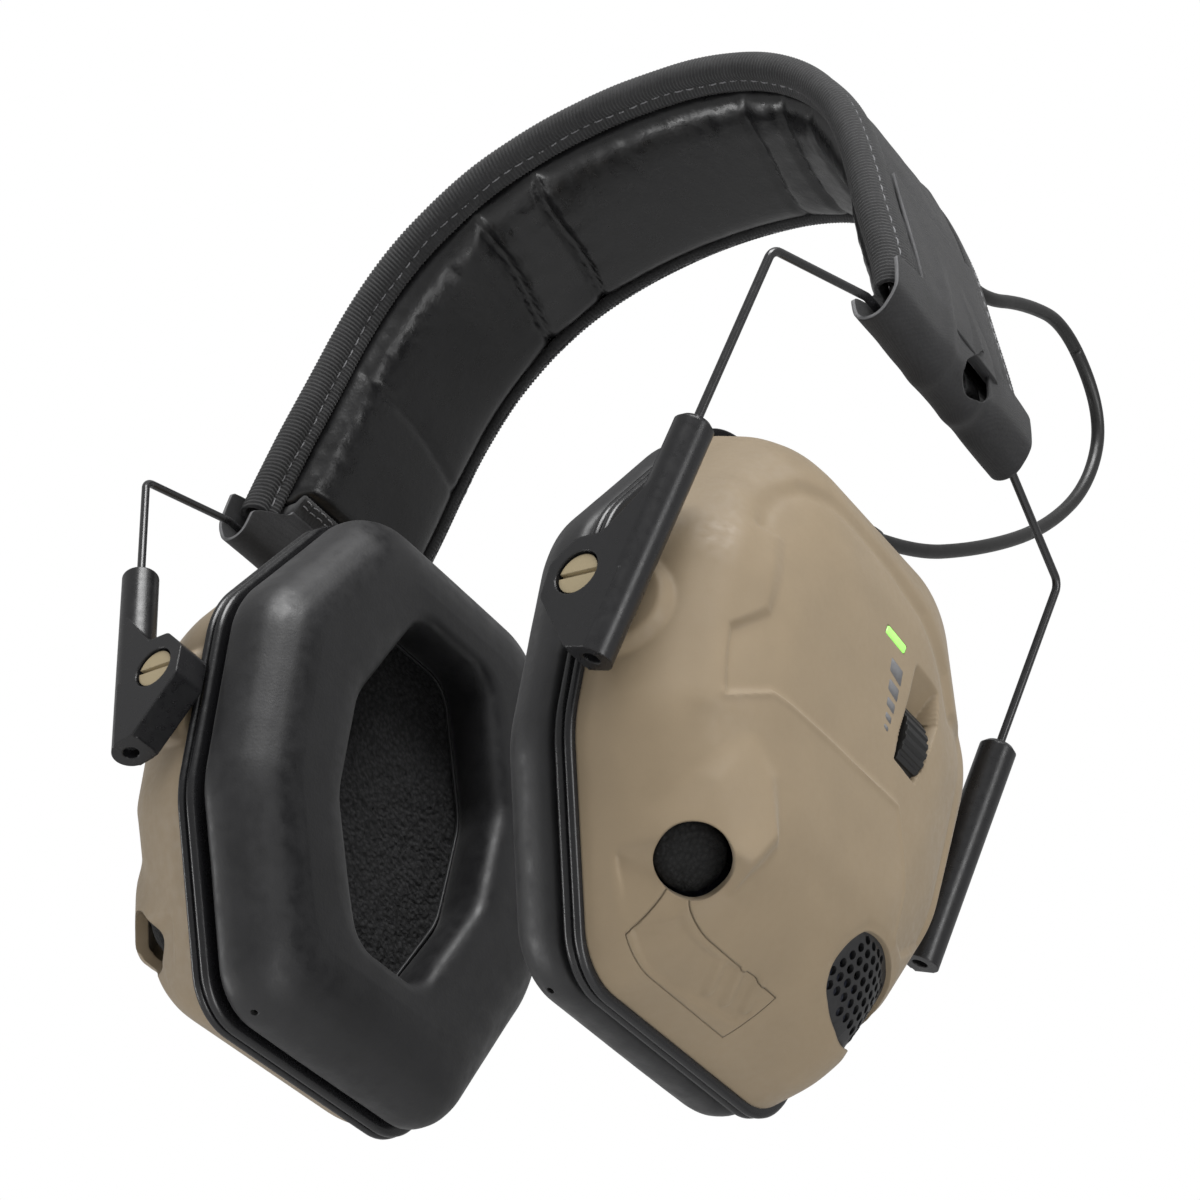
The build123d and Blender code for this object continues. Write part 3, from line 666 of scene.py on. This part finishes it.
def make_sleeve(name, sign):
    line, steps = sleeve_section()
    total = steps[-1]
    count = int(total / 0.55)
    s = np.linspace(0, total, count)
    x = np.interp(s, steps, line[:, 0])
    z = np.interp(s, steps, line[:, 1])
    kernel = np.ones(7) / 7
    x[3:-3], z[3:-3] = np.convolve(x, kernel, "valid"), np.convolve(z, kernel, "valid")
    dx, dz = np.gradient(x), np.gradient(z)
    length = np.hypot(dx, dz)
    nx, nz = -dz / length, dx / length  # towards the outside of the fold
    if nx[10] < 0:
        nx, nz = -nx, -nz
    rows = []
    binding_low = band(BINDING_END_ANGLE, 3.95, 0)[2]
    binding_end = s[np.argmin(np.abs(z[: count // 2] - binding_low))]
    columns = np.linspace(-1, 1, 101)
    for i in range(count):
        widen = smooth_step(s[i], binding_end - 0.2, binding_end + 2.6)
        narrow = smooth_step(s[i], total - 6.5, total)
        half = SLEEVE_NARROW + (SLEEVE_HALF_LENGTH - SLEEVE_NARROW) * widen
        half -= (SLEEVE_HALF_LENGTH - SLEEVE_NARROW - 0.2) * narrow
        y = columns * half
        # lengthwise folds that fan out from the band towards the wire
        reach = smooth_step(s[i], 8, 26) * (1 - smooth_step(s[i], total - 16, total - 8))
        fan = 0.55 + 0.45 * smooth_step(s[i], 10, binding_end + 4)
        fold = 0.6 * np.exp(-((y - 1.5 * fan - 4.0) / 1.7) ** 2)
        fold += 0.6 * np.exp(-((y + 5.5 * fan) / 2.0) ** 2)
        fold -= 0.6 * np.exp(-((y - 9.5 * fan) / 2.2) ** 2)
        puff = 0.2 * lumps(np.stack([y, 0 * y + s[i], 0 * y], -1), 7, 4.4)
        edge = 1 - np.abs(columns) ** 8
        lift = (fold * reach + puff) * edge
        rows.append(np.stack([x[i] + nx[i] * lift, y, z[i] + nz[i] * lift], -1))
    rows = np.array(rows)
    shape = Shape()
    shape.grid(rows)
    piece = shape.make(name, [outer_cloth, cut_edge])
    solid = piece.modifiers.new("thickness", "SOLIDIFY")
    solid.thickness = 0.7 * MM
    solid.offset = 0
    solid.material_offset_rim = 1
    apply_modifiers(piece)
    # drop-shaped window over the spring band's rolled eye
    drop = [(7.0, 14.0), (9.0, 9.0), (9.0, 4.0), (6.4, 0.6), (2.6, -0.2), (-0.6, 1.8),
            (-0.2, 5.2), (3.6, 9.6)]
    drop = rounded_outline([(y, SLEEVE_Z - 1.2 + z0) for y, z0 in drop], 1.6)
    cutter = prism(drop, SLEEVE_X + 1.2, SLEEVE_X + 12, same)
    boolean(piece, cutter)
    if sign < 0:
        piece.data.transform(Matrix.Scale(-1, 4, (1, 0, 0)))
        piece.data.flip_normals()
    settle(piece, "headband", "outer_cloth", name)


make_sleeve("right_sleeve", 1)
make_sleeve("left_sleeve", -1)


# ---------- cups
def polar_outline(corners, count):
    """Radius of a mirrored, rounded outline at evenly spaced polar angles."""
    ends = [np.array(c[:2], float) for c in corners]
    ends += [np.array((-c[0], c[1]), float) for c in reversed(corners)]
    radii = [c[2] for c in corners] + [c[2] for c in reversed(corners)]
    dense = []
    for i, corner in enumerate(ends):
        before = unit(ends[i - 1] - corner)
        after = unit(ends[(i + 1) % len(ends)] - corner)
        half = np.arccos(np.clip(before @ after, -1, 1)) / 2
        centre = corner + unit(before + after) * radii[i] / sin(half)
        a = corner + before * radii[i] / tan(half) - centre
        b = corner + after * radii[i] / tan(half) - centre
        a0, b0 = np.arctan2(a[1], a[0]), np.arctan2(b[1], b[0])
        b0 = a0 + (b0 - a0 + pi) % (2 * pi) - pi
        for turn in np.linspace(a0, b0, 24):
            dense.append(centre + radii[i] * np.array((np.cos(turn), np.sin(turn))))
    dense = np.array(dense + [dense[0]])
    line = []
    for a, b in zip(dense, dense[1:]):
        steps = max(1, int(np.linalg.norm(b - a) / 0.5))
        line += [a + (b - a) * k / steps for k in range(steps)]
    line = np.array(line)
    angle = np.arctan2(line[:, 1], line[:, 0])
    order = np.argsort(angle)
    target = np.linspace(-pi, pi, count, endpoint=False)
    return target, np.interp(target, angle[order], np.hypot(*line[order].T), period=2 * pi)


AROUND = 560
PSI, CUP_R = polar_outline(CUP_CORNERS, AROUND)
_, OPEN_R = polar_outline(OPENING_CORNERS, AROUND)


def ring_at(radius, u):
    """One closed ring of cup points."""
    radius = np.broadcast_to(radius, AROUND)
    u = np.broadcast_to(u, AROUND)
    return np.stack([u, radius * np.cos(PSI), radius * np.sin(PSI)], -1)


def smoothed(points, count, width):
    """Broken line resampled evenly and rounded, its ends kept."""
    points = np.asarray(points, float)
    way = run_length(points * (45, 1))  # shares of a radius of about 45 mm, against heights
    t = np.linspace(0, way[-1], count)
    line = np.stack([np.interp(t, way, points[:, k]) for k in (0, 1)], 1)
    size = max(1, int(width / (way[-1] / count)))
    kernel = np.hanning(2 * size + 3)
    kernel /= kernel.sum()
    pad = len(kernel) // 2
    extended = np.vstack([2 * line[0] - line[pad:0:-1], line, 2 * line[-1] - line[-2:-pad - 2:-1]])
    return np.stack([np.convolve(extended[:, k], kernel, "valid") for k in (0, 1)], 1)


PROFILE = smoothed(
    [(0.985, 0), (0.965, 7), (0.915, 13), (0.82, 18), (0.68, 21.5), (0.52, 23.5), (0.3, 24.15),
     (0.004, 24.3)], 150, 4.0)

# Lines of the shell's relief, in V and W: the arch's groove, the raised panel's front edge, the
# ridge, the hood over the microphone and the scoop below it. DOOR and RIBS are in V and height.
ARCH = [(-30.5, 20.0), (-29.6, 24.5), (-27.3, 28.7), (-23.2, 32.2), (-16.8, 33.8), (-8.3, 33.6),
        (1.3, 32.5), (11.0, 29.3), (19.7, 23.0), (24.0, 17.6), (31.0, 18.6)]
PANEL_LEFT = [(-30.9, 21.5), (-27.3, 18.6), (-27.7, 11.5), (-28.0, 4.2), (-33.0, -1.1),
              (-32.2, -6.9), (-31.1, -12.3)]
RIDGE = [(-31.1, -12.3), (-24.2, -8.2), (-16.3, -8.3), (-3.0, -8.4), (10.1, -8.0),
         (14.4, -14.5), (17.4, -20.0), (18.5, -27.0)]
HOOD = [(-26.5, -14.0), (-30.6, -25.0), (-32.4, -37.2), (-19.0, -39.0), (-15.5, -30.0),
        (-19.0, -20.0)]
SCOOP = [(-31.6, -36.5), (-29.1, -41.5), (-27.0, -47.6), (-23.2, -47.6), (-22.6, -41.0),
         (-22.2, -36.5)]
DOOR = [(-25.2, 7.0), (-22.2, 13.0), (-12.7, 13.4), (-2.8, 14.9), (0.8, 10.8), (0.2, 8.6),
        (-7.3, 7.5), (-17.1, 6.4)]
RIBS = [((-11.1, 13.0), (-8.2, 9.6)), ((-7.3, 13.9), (-4.1, 9.9)), ((-3.0, 14.4), (-0.4, 10.8))]
GRILLE = [(10.2, -29.7), (7.4, -33.4), (6.6, -37.0), (8.2, -40.2), (13.0, -42.6), (19.5, -44.2),
          (27.0, -41.5), (30.0, -34.5), (22.0, -30.0), (15.0, -28.9)]
WHEEL_SLOT = [(9.9, 18.4), (17.6, 17.7), (18.2, 11.8), (16.4, 4.5), (14.2, -1.2), (8.0, -0.6),
              (8.2, 4.4), (9.3, 12.2)]
SLOT_RAMP_END = 12.2  # W where the ramp of the wheel's slot opens into the cup
LENS_OPENING = [(0.1, 20.0), (6.15, 19.5), (5.6, 17.55), (-0.35, 18.1)]
LENS = [(0.2, 19.85), (6.0, 19.35), (5.5, 17.7), (-0.2, 18.25)]
DOOR_LOW, DOOR_HIGH = np.array((3.2, -25.0, -62.0)), np.array((11.4, 1.5, -40.5))
DOOR_GAP = np.array((0.15, 0.15, 0))


def shell_relief(points, near):
    """Height of the moulded relief over the plain surface, in millimetres."""
    u, v, w = points[..., 0], points[..., 1], points[..., 2]
    d = u - RIM_U
    top = smooth_step(d, 12, 19)
    relief = np.zeros_like(u)
    # the field between the arch and the ridge lies lower than what surrounds it
    field = ARCH + [(33.0, -20.0), (24.0, -27.0)] + RIDGE[::-1] + PANEL_LEFT[::-1][1:-1]
    depth_in = inside(v, w, field)
    soft = np.minimum(3.2, 1.0 + 0.25 * np.maximum(0, w))
    relief -= 0.85 * smooth_step(depth_in, -0.5 * soft, 0.5 * soft) * top
    arch = to_segments(v, w, ARCH[:-1])
    relief -= 0.55 * np.exp(-(arch / 1.6) ** 2) * top
    ridge = to_segments(v, w, RIDGE)
    relief += 0.30 * np.exp(-(ridge / 0.8) ** 2) * top
    # side shoulder line in front of the field
    shoulder = to_segments(v, w, [(-33.0, 27.0), (-34.5, 10.7), (-34.8, -2.5), (-33.0, -14.0)])
    relief += 0.35 * np.exp(-(shoulder / 2.2) ** 2)
    # hood over the microphone, rising towards its opening, and the scoop below
    rise = np.clip((-16.0 - w) / 19.0, 0, 1)
    hood = inside(v, w, HOOD)
    lift = 3.6 * rise * smooth_step(hood, -0.8, 3.0) * smooth_step(d, 6, 11)
    scoop = inside(v, w, SCOOP)
    sink = np.clip((w + 48.2) / 9.0, 0, 1)
    lift -= 2.2 * sink * smooth_step(scoop, -0.6, 1.2) * smooth_step(d, 4, 8)
    if near:
        door = inside(v, d, DOOR)
        low = w < -40
        relief -= 0.45 * smooth_step(door, -0.35, 0.35) * low
        for a, b in RIBS:
            rib = to_segments(v, d, [a, b])
            relief += 0.5 * smooth_step(1.0 - rib, 0, 0.6) * low
        slot = inside(v, w, WHEEL_SLOT)
        ramp = np.clip((18.6 - w) * 0.75, 0, 4.6)
        relief -= ramp * smooth_step(slot, -0.45, 0.45) * (d > 15)
    # round boss round each pivot pin
    reach = np.hypot(u - 0.6, w)
    boss = smooth_step(9.6 - reach, 0, 2.2)
    relief += 1.9 * boss * (np.abs(v) > 30)
    # grille's rolled border
    border = inside(v, w, GRILLE)
    relief -= 0.35 * np.exp(-(border / 1.0) ** 2) * (d > 8)
    return relief, lift


def shell_surface(near):
    """Rings of the shell's outer surface, from the rim to its middle."""
    rings = np.array([ring_at(s * CUP_R, d + RIM_U) for s, d in PROFILE])
    d = rings[..., 0] - RIM_U
    share = np.minimum(d, 13) / 13 + np.maximum(0, d - 13) / 26
    rings[..., 2] *= 1 - np.where(rings[..., 2] > 0, TOP_TAPER, BOTTOM_TAPER) * share
    around = np.roll(rings, -1, 1) - np.roll(rings, 1, 1)
    inward = np.gradient(rings, axis=0)
    normal = np.cross(around, inward)
    normal /= np.linalg.norm(normal, axis=2)[..., None] + 1e-12
    if normal[100, 0, 0] < 0:
        normal = -normal
    normal[-3:] = (1, 0, 0)
    relief, lift = shell_relief(rings, near)
    relief *= smooth_step(np.arange(len(rings)), 0, 4)[:, None]
    return rings + normal * relief[..., None] + lift[..., None] * np.array((1, 0, 0)), normal


SURFACE = {near: shell_surface(near) for near in (True, False)}


def surface_height(near, v, w):
    """U of the outer surface over a point of the V-W plane."""
    rings, _ = SURFACE[near]
    v, w = np.asarray(v, float), np.asarray(w, float)
    psi = np.arctan2(w, v)
    column = np.round((psi + pi) / (2 * pi) * AROUND).astype(int) % AROUND
    out = np.zeros(v.shape)
    for index in np.ndindex(v.shape):
        line = rings[:, column[index]]
        radius = np.hypot(line[:, 1], line[:, 2])
        out[index] = np.interp(-np.hypot(v[index], w[index]), -radius, line[:, 0])
    return out


def make_shell(side):
    near = side == "right"
    place = in_cup(side)
    outer, normal = SURFACE[near]
    inner = outer - normal * SHELL_WALL
    inner[:, :, 0] = np.minimum(inner[:, :, 0], outer[:, :, 0])
    for k in range(6):
        inner[k, :, 0] = outer[k, :, 0]
    rings = np.concatenate([outer[::-1], inner], axis=0)
    shell = closed(f"{side}_shell_skin", rings, [shell_tan], place)
    # microphone bore
    shape = Shape()
    path = np.array([MIC_CENTRE + MIC_AIM * k for k in np.linspace(-8, 16, 5)])
    shape.tube(path, MIC_RADIUS + 0.1, 48)
    boolean(shell, shape.make("cutter", [], place))
    # speaker grille's opening
    boolean(shell, prism(rounded_outline(GRILLE, 2.6), 4, 32, place))
    # pin holes
    shape = Shape()
    for low, high in ((-60, -30), (30, 60)):
        shape.tube([(0, low, 0), (0, high, 0)], PIN_HOLE_RADIUS, 32)
    boolean(shell, shape.make("cutter", [], place))
    if near:
        slot = [(9.2, SLOT_RAMP_END), (18.1, SLOT_RAMP_END)] + WHEEL_SLOT[2:7]
        boolean(shell, prism(rounded_outline(slot, 0.8), 8, 32, place))
        boolean(shell, prism(rounded_outline(LENS_OPENING, 0.35), 19, 32, place))
        # the battery door is cut from the same surface
        door = placed("battery_door_skin", shell.data.copy())
        boolean(door, box_cutter(DOOR_LOW, DOOR_HIGH, place), "INTERSECT")
        boolean(shell, box_cutter(DOOR_LOW - DOOR_GAP, DOOR_HIGH + DOOR_GAP, place))
        door.data.set_sharp_from_angle(angle=radians(32))
        settle(door, "battery_door", "shell_tan", "right_battery_door")
    shell.data.set_sharp_from_angle(angle=radians(32))
    settle(shell, f"{side}_cup", "shell_tan", f"{side}_shell")


def box_cutter(low, high, place):
    (a, b, c), (d, e, f) = low, high
    return prism([(b, c), (e, c), (e, f), (b, f)], a, d, place)


def make_marks():
    """Rising wedge of blocks beside the volume wheel: generic louder and softer marks."""
    shape = Shape()
    blocks = [(4.1, 13.4, 1.75, 1.45), (4.15, 9.9, 1.45, 1.15), (4.15, 7.0, 1.15, 0.85),
              (4.1, 4.6, 0.85, 0.6), (4.0, 2.7, 0.6, 0.4)]
    for v, w, half_v, half_w in blocks:
        corners = [(v - half_v, w - half_w * 0.6), (v + half_v, w - half_w * 1.3),
                   (v + half_v, w + half_w * 0.7), (v - half_v, w + half_w * 1.1)]
        line = rounded_outline(corners, 0.3, 3)
        height = surface_height(True, line[:, 0], line[:, 1])
        rings = [np.column_stack([height + lift, line]) for lift in (-0.3, 0.045)]
        shape.grid(np.array(rings), wrap_cols=True, caps=True)
    piece = shape.make("volume_marks", [mark_grey], in_cup("right"))
    settle(piece, "right_cup", "shell_tan")


def make_grille(side):
    """Perforated sheet that follows the shell's surface just below it."""
    near = side == "right"
    outline = rounded_outline(GRILLE, 2.6)
    pitch, hole, sunk, thickness = 2.05, 0.72, 0.9, 0.8
    shape = Shape()
    row = 0
    w = -50.0
    hexagon = np.radians(np.arange(12) * 30)
    while w < -26:
        v = 3.0 + (row % 2) * pitch / 2
        while v < 34:
            margin = inside(np.array([v]), np.array([w]), outline)[0]
            if margin > -1.8:
                limit = pitch / 2 / np.cos((hexagon + pi / 6) % (pi / 3) - pi / 6)
                outer = np.stack([v + limit * np.cos(hexagon), w + limit * np.sin(hexagon)], 1)
                inner = np.stack([v + hole * np.cos(hexagon), w + hole * np.sin(hexagon)], 1)
                is_hole = margin > 1.0
                if not is_hole:
                    inner = inner * 0.5 + 0.5 * np.array((v, w))
                top = [np.column_stack([surface_height(near, *line.T) - sunk, line])
                       for line in (outer, inner)]
                low = [ring - (thickness, 0, 0) for ring in top]
                order = (0, 1, 3, 2) if is_hole else (3, 2, 0, 1)
                rings = [(top + low)[k] for k in order]
                shape.grid(np.array(rings), wrap_cols=True, caps=not is_hole)
            v += pitch
        w += pitch * np.sqrt(3) / 2
        row += 1
    piece = shape.make(f"{side}_grille_mesh", [grille_black],
                       in_cup(side), merge=0.02, sharp=40)
    settle(piece, f"{side}_cup", "grille_plastic", f"{side}_grille")


def make_mic_foam(side):
    """Rounded plug of open-cell foam in the microphone's bore."""
    radius, dome, middle = 5.5, 2.6, -1.6  # of the plug; height and foot of its dome
    turns = np.linspace(0, pi / 2, 26)
    heights = list(np.linspace(-4.4, middle, 6)[:-1]) + [middle + dome * sin(a) for a in turns]
    radii = [radius] * 5 + [radius * cos(a) + 0.02 for a in turns]
    side_v = unit(np.cross(MIC_AIM, (0, 0, 1.0)))
    up = np.cross(MIC_AIM, side_v)
    around = np.arange(64) * 2 * pi / 64
    circle = np.outer(np.cos(around), side_v) + np.outer(np.sin(around), up)
    centres = np.array([MIC_CENTRE + MIC_AIM * h for h in heights])[:, None]
    rings = centres + np.array(radii)[:, None, None] * circle
    rough = 0.28 * lumps(rings, 0.9, 2.0) + 0.2 * lumps(rings, 2.2, 9.0)
    out = rings - centres + 0.001
    out /= np.linalg.norm(out, axis=2)[..., None]
    rings = rings + (out * 0.6 + MIC_AIM * 0.4) * rough[..., None]
    piece = closed(f"{side}_mic_foam_plug", rings, [mic_black], in_cup(side))
    settle(piece, f"{side}_cup", "mic_foam", f"{side}_mic_foam")


def make_base_ring(side):
    """Glossy ring between shell and cushion, two beads with a furrow between."""
    profile = [(-9.0, -2.75), (-1.2, -2.75), (-0.1, -2.72), (0.35, -2.85), (0.62, -3.2),
               (0.62, -3.7), (0.35, -4.05), (-0.25, -4.2), (-0.3, -4.45), (0.2, -4.6),
               (0.5, -4.95), (0.5, -5.5), (0.2, -5.95), (-0.5, -6.15), (-3.0, -6.2), (-9.0, -6.2)]
    rings = [ring_at(CUP_R + grow, u) for grow, u in profile]
    piece = closed(f"{side}_rim_ring", rings, [ring_black], in_cup(side), wrap_rows=True, sharp=50)
    settle(piece, f"{side}_cup", "ring_plastic", f"{side}_base_ring")


def make_cushion(side):
    """Ear cushion: soft skin over foam, big bevels, slightly drawn in on its long sides."""
    outer = smoothed([(0.80, -7.3), (0.95, -7.3), (0.99, -7.8), (1.0, -9.6), (0.995, -12.6),
                      (0.972, -15.2), (0.925, -17.6), (0.86, -19.4), (0.80, -20.1), (0.74, -20.2)],
                     46, 1.8)
    face = [(0.3, -19.9), (0.55, -19.9), (0.78, -19.6), (0.92, -19.0)]
    opening = [(0.0, -18.0), (-0.3, -16.4), (-0.3, -14.0), (0.2, -11.5), (1.1, -9.2), (2.0, -7.5)]
    rings = [ring_at(CUP_R * factor, u) for factor, u in outer]
    rings += [ring_at(CUP_R * 0.74 * (1 - share) + OPEN_R * share, u) for share, u in face]
    rings = np.array(rings + [ring_at(OPEN_R + grow, u) for grow, u in opening])
    swell = 0.10 * lumps(rings, 26, 6.0 if side == "right" else 11.0)
    fine = 0.03 * lumps(rings, 5, 2.0)
    middle = ring_at(CUP_R * 0.5 + OPEN_R * 0.5, -13.5)[None]
    out = rings - middle
    out /= np.linalg.norm(out, axis=2)[..., None]
    # the skin draws in a little half way along each straight side
    pull = 0.12 * np.cos(4 * PSI)[None] * smooth_step(rings[..., 0], -19, -12)
    rings = rings + out * (swell + fine + pull)[..., None]
    piece = closed(f"{side}_cushion_skin", rings, [cushion_skin, mic_black], in_cup(side),
                   wrap_rows=True)
    # vent hole low on the outer side
    vent = Shape()
    at = ring_at(CUP_R * 0.985, -12.0)
    index = int(np.argmin(np.abs(PSI - radians(-112))))
    vent.tube([at[index] * (1, 1.03, 1.03), at[index] * (1, 0.95, 0.95)], 0.62, 14)
    boolean(piece, vent.make("cutter", [mic_black], in_cup(side)))
    settle(piece, f"{side}_cup", "cushion_skin", f"{side}_cushion")


def make_liner(side):
    """Open-cell foam sheet behind the cushion's opening, with its retaining bead."""
    rings = np.array([ring_at((OPEN_R + 3.0) * share, -6.9) for share in np.linspace(1, 0.01, 70)])
    rough = 0.30 * lumps(rings, 0.9, 3.0) + 0.35 * lumps(rings, 5.0, 8.0)
    edge = smooth_step(np.linspace(0, 1, len(rings)), 0, 0.1)[:, None]
    rings[..., 0] += rough * edge - 0.5 * (1 - edge)
    back = np.array([ring_at((OPEN_R + 3.0) * share, -3.2) for share in (0.02, 1.0)])
    piece = closed(f"{side}_liner_sheet", np.concatenate([rings, back]), [liner_foam],
                   in_cup(side), wrap_rows=True)
    settle(piece, f"{side}_cup", "liner_foam", f"{side}_foam_liner")
    line = ring_at(OPEN_R + 1.2, -7.9)
    turns = np.arange(8) * pi / 4
    radial = np.stack([0 * PSI, np.cos(PSI), np.sin(PSI)], -1)
    tube = [line + 0.35 * (np.cos(a) * radial + np.sin(a) * np.array((1, 0, 0))) for a in turns]
    piece = closed(f"{side}_liner_bead", tube, [cushion_skin], in_cup(side), wrap_rows=True)
    settle(piece, f"{side}_cup", "cushion_skin")


def make_boot(side):
    """Tapered strain relief with shallow rings."""
    along = np.linspace(0, 1, 60)
    furrow = 0.22 * np.maximum(0, np.sin(2 * pi * (along * 5 + 0.2)))
    furrow *= (along > 0.12) & (along < 0.92)
    shape = Shape()
    shape.tube([BOOT_BASE + BOOT_AIM * BOOT_LENGTH * k for k in along],
               3.35 - 1.25 * along - furrow, 32)
    piece = shape.make(f"{side}_boot_rings", [cable_black], in_cup(side))
    settle(piece, f"{side}_cup", "boot_rubber", f"{side}_lead_boot")


for side in ("right", "left"):
    for make in (make_shell, make_grille, make_mic_foam, make_base_ring, make_cushion, make_liner,
                 make_boot):
        make(side)
    repaint(arm_black, f"{side}_front_arm", f"{side}_rear_arm")
    repaint(wire_black, f"{side}_yoke_wire")
    repaint(pin_tan, f"{side}_pivot_pins")
    repaint(screw_steel, f"{side}_shell_screws")
    repaint(inner_black, f"{side}_cushion_plate", f"{side}_baffle", f"{side}_speaker")
    repaint(can_metal, f"{side}_microphone")
make_marks()
repaint(spring_steel, "spring_band")
repaint(board_green, "right_circuit_board")
repaint(cell_sleeve, "right_batteries")
repaint(contact_metal, "right_battery_contacts")
repaint(wheel_black, "right_volume_wheel")
repaint(inner_black, "right_volume_switch")


def make_lens():
    """Thin light bar, flush with the shell."""
    line = rounded_outline(LENS, 0.35, 3)
    height = surface_height(True, line[:, 0], line[:, 1])
    rings = [np.column_stack([height + lift, line]) for lift in (-2.2, 0.03, 0.12)]
    rings[2][:, 1:] = rings[2][:, 1:] * 0.94 + line.mean(0) * 0.06
    piece = closed("status_light", rings, [lens_green], in_cup("right"))
    settle(piece, "right_cup", "lens_green", "right_status_lens")


make_lens()

# ---------- the speaker lead
LEAD_ROUTE = [
    (0.0515, 0.002, -0.10138), (0.05207, 0.02269, -0.09392), (0.055, 0.044, -0.0787),
    (0.0575, 0.062, -0.0617), (0.06, 0.073, -0.0437), (0.062, 0.073, -0.0267),
    (0.0628, 0.055, -0.0172), (0.0628, 0.039, -0.025), (0.06217, 0.024, -0.03632),
    (0.06055, 0.0131, -0.03336), (0.05745, 0.00875, -0.02579), (0.04757, 0.0105, -0.0106),
    (0.03336, 0.0105, 0.00005), (0.01639, 0.0105, 0.00564), (-0.00137, 0.0105, 0.00709),
    (-0.01909, 0.0105, 0.00508), (-0.03578, 0.0105, -0.00126), (-0.04937, 0.0105, -0.01265),
    (-0.05661, 0.0105, -0.02399), (-0.06136, 0.0105, -0.03606), (-0.06444, 0.015, -0.04545),
    (-0.0705, 0.024, -0.06), (-0.067, 0.0345, -0.071), (-0.059, 0.034, -0.0815),
    (-0.05146, 0.02269, -0.08561), (-0.05126, 0.002, -0.09309),
]


def lead_line():
    """Points of the lead's smooth line, from the right cup to the left one, in metres."""
    curve = bpy.data.curves.new("lead_route", "CURVE")
    curve.dimensions = "3D"
    spline = curve.splines.new("NURBS")
    spline.points.add(len(LEAD_ROUTE) - 1)
    for point, place in zip(spline.points, LEAD_ROUTE):
        point.co = (*place, 1)
    spline.order_u = 3
    spline.use_endpoint_u = True
    spline.resolution_u = 24
    obj = placed("lead_route", curve)
    line = np.array([v.co for v in evaluated_mesh(obj).vertices])
    bpy.data.objects.remove(obj)
    return line


def make_lead():
    """The lead in seven stretches; a stretch whose two ends lie on one body is attached to it, the
    others are not attached to any body.
    """
    line = lead_line()
    way = run_length(line)

    def at(point):
        """Length along the lead nearest to a point."""
        return way[np.argmin(np.linalg.norm(line - np.array(point), axis=1))]

    right_in, left_in = at((0.0615, 0.018, -0.0345)), at((-0.0612, 0.0110, -0.0365))
    free_right, free_left, last = right_in + 0.012, left_in - 0.016, way[-1]
    third = (last - free_left) / 3
    marks = [0.0, free_right * 0.36, free_right * 0.68, free_right,
             free_left, free_left + third, free_left + 2 * third, last]
    bodies = ["right_cup", "right_arms", "right_yoke", "headband",
              "headband", "left_yoke", "left_arms", "left_cup"]
    names = ["lead_right_cup", "lead_right_arms", "lead_right_yoke", "lead_band",
             "lead_left_yoke", "lead_left_arms", "lead_left_cup"]
    for name, start, end, first, second in zip(names, marks, marks[1:], bodies, bodies[1:]):
        keep = (way >= start - 1e-9) & (way <= end + 1e-9)
        first_index, last_index = np.flatnonzero(keep)[0], np.flatnonzero(keep)[-1]
        last_index = min(last_index + 1, len(line) - 1)
        path = line[first_index:last_index + 1]
        shape = Shape()
        shape.tube(path / MM, LEAD_DIAMETER / 2 / MM, 20)
        piece = shape.make(name, [cable_black])
        if first == second:
            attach(piece, first)
        else:
            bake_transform(piece)
        if name == "lead_band":
            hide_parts("speaker_lead")


make_lead()

# ---------- floor, backdrop and lights
floor_mesh = bpy.data.meshes.new("floor")
bm = bmesh.new()
bmesh.ops.create_circle(bm, cap_ends=True, segments=96, radius=4.0)
bm.to_mesh(floor_mesh)
bm.free()
floor = placed("floor", floor_mesh)
floor.location = (0, 0, -0.75)
floor_mesh.materials.append(plastic("pale_floor", (0.82, 0.82, 0.82), 0.6, edge=0))

world = bpy.data.worlds.new("studio")
bpy.context.scene.world = world
world.use_nodes = True
tree = world.node_tree
plain, room = tree.nodes["Background"], tree.nodes.new("ShaderNodeBackground")
for node, strength in ((plain, 1.0), (room, 0.42)):
    node.inputs["Color"].default_value = (1, 1, 1, 1)
    node.inputs["Strength"].default_value = strength
# the camera sees plain white, and the earmuff is lit by a dimmer room
choice = tree.nodes.new("ShaderNodeMixShader")
path = tree.nodes.new("ShaderNodeLightPath")
tree.links.new(path.outputs["Is Camera Ray"], choice.inputs[0])
tree.links.new(room.outputs[0], choice.inputs[1])
tree.links.new(plain.outputs[0], choice.inputs[2])
tree.links.new(choice.outputs[0], tree.nodes["World Output"].inputs["Surface"])
bpy.context.scene.view_settings.view_transform = "Standard"


MIDDLE = (0, 0, -0.09)  # of the earmuff, in metres


def lamp(name, place, size, power):
    """Rectangular area light aimed at the earmuff's middle."""
    light = bpy.data.lights.new(name, "AREA")
    light.energy = power
    light.shape = "RECTANGLE"
    light.size, light.size_y = size
    obj = placed(name, light)
    obj.location = place
    aim = Vector(MIDDLE) - Vector(place)
    obj.rotation_euler = aim.to_track_quat("-Z", "Y").to_euler()


lamp("key", (0.45, -0.55, 0.75), (0.7, 0.5), 13)
lamp("side", (1.1, -0.1, -0.35), (0.3, 0.9), 5)
lamp("strip", (-0.75, -0.45, -0.55), (0.12, 0.9), 3.5)
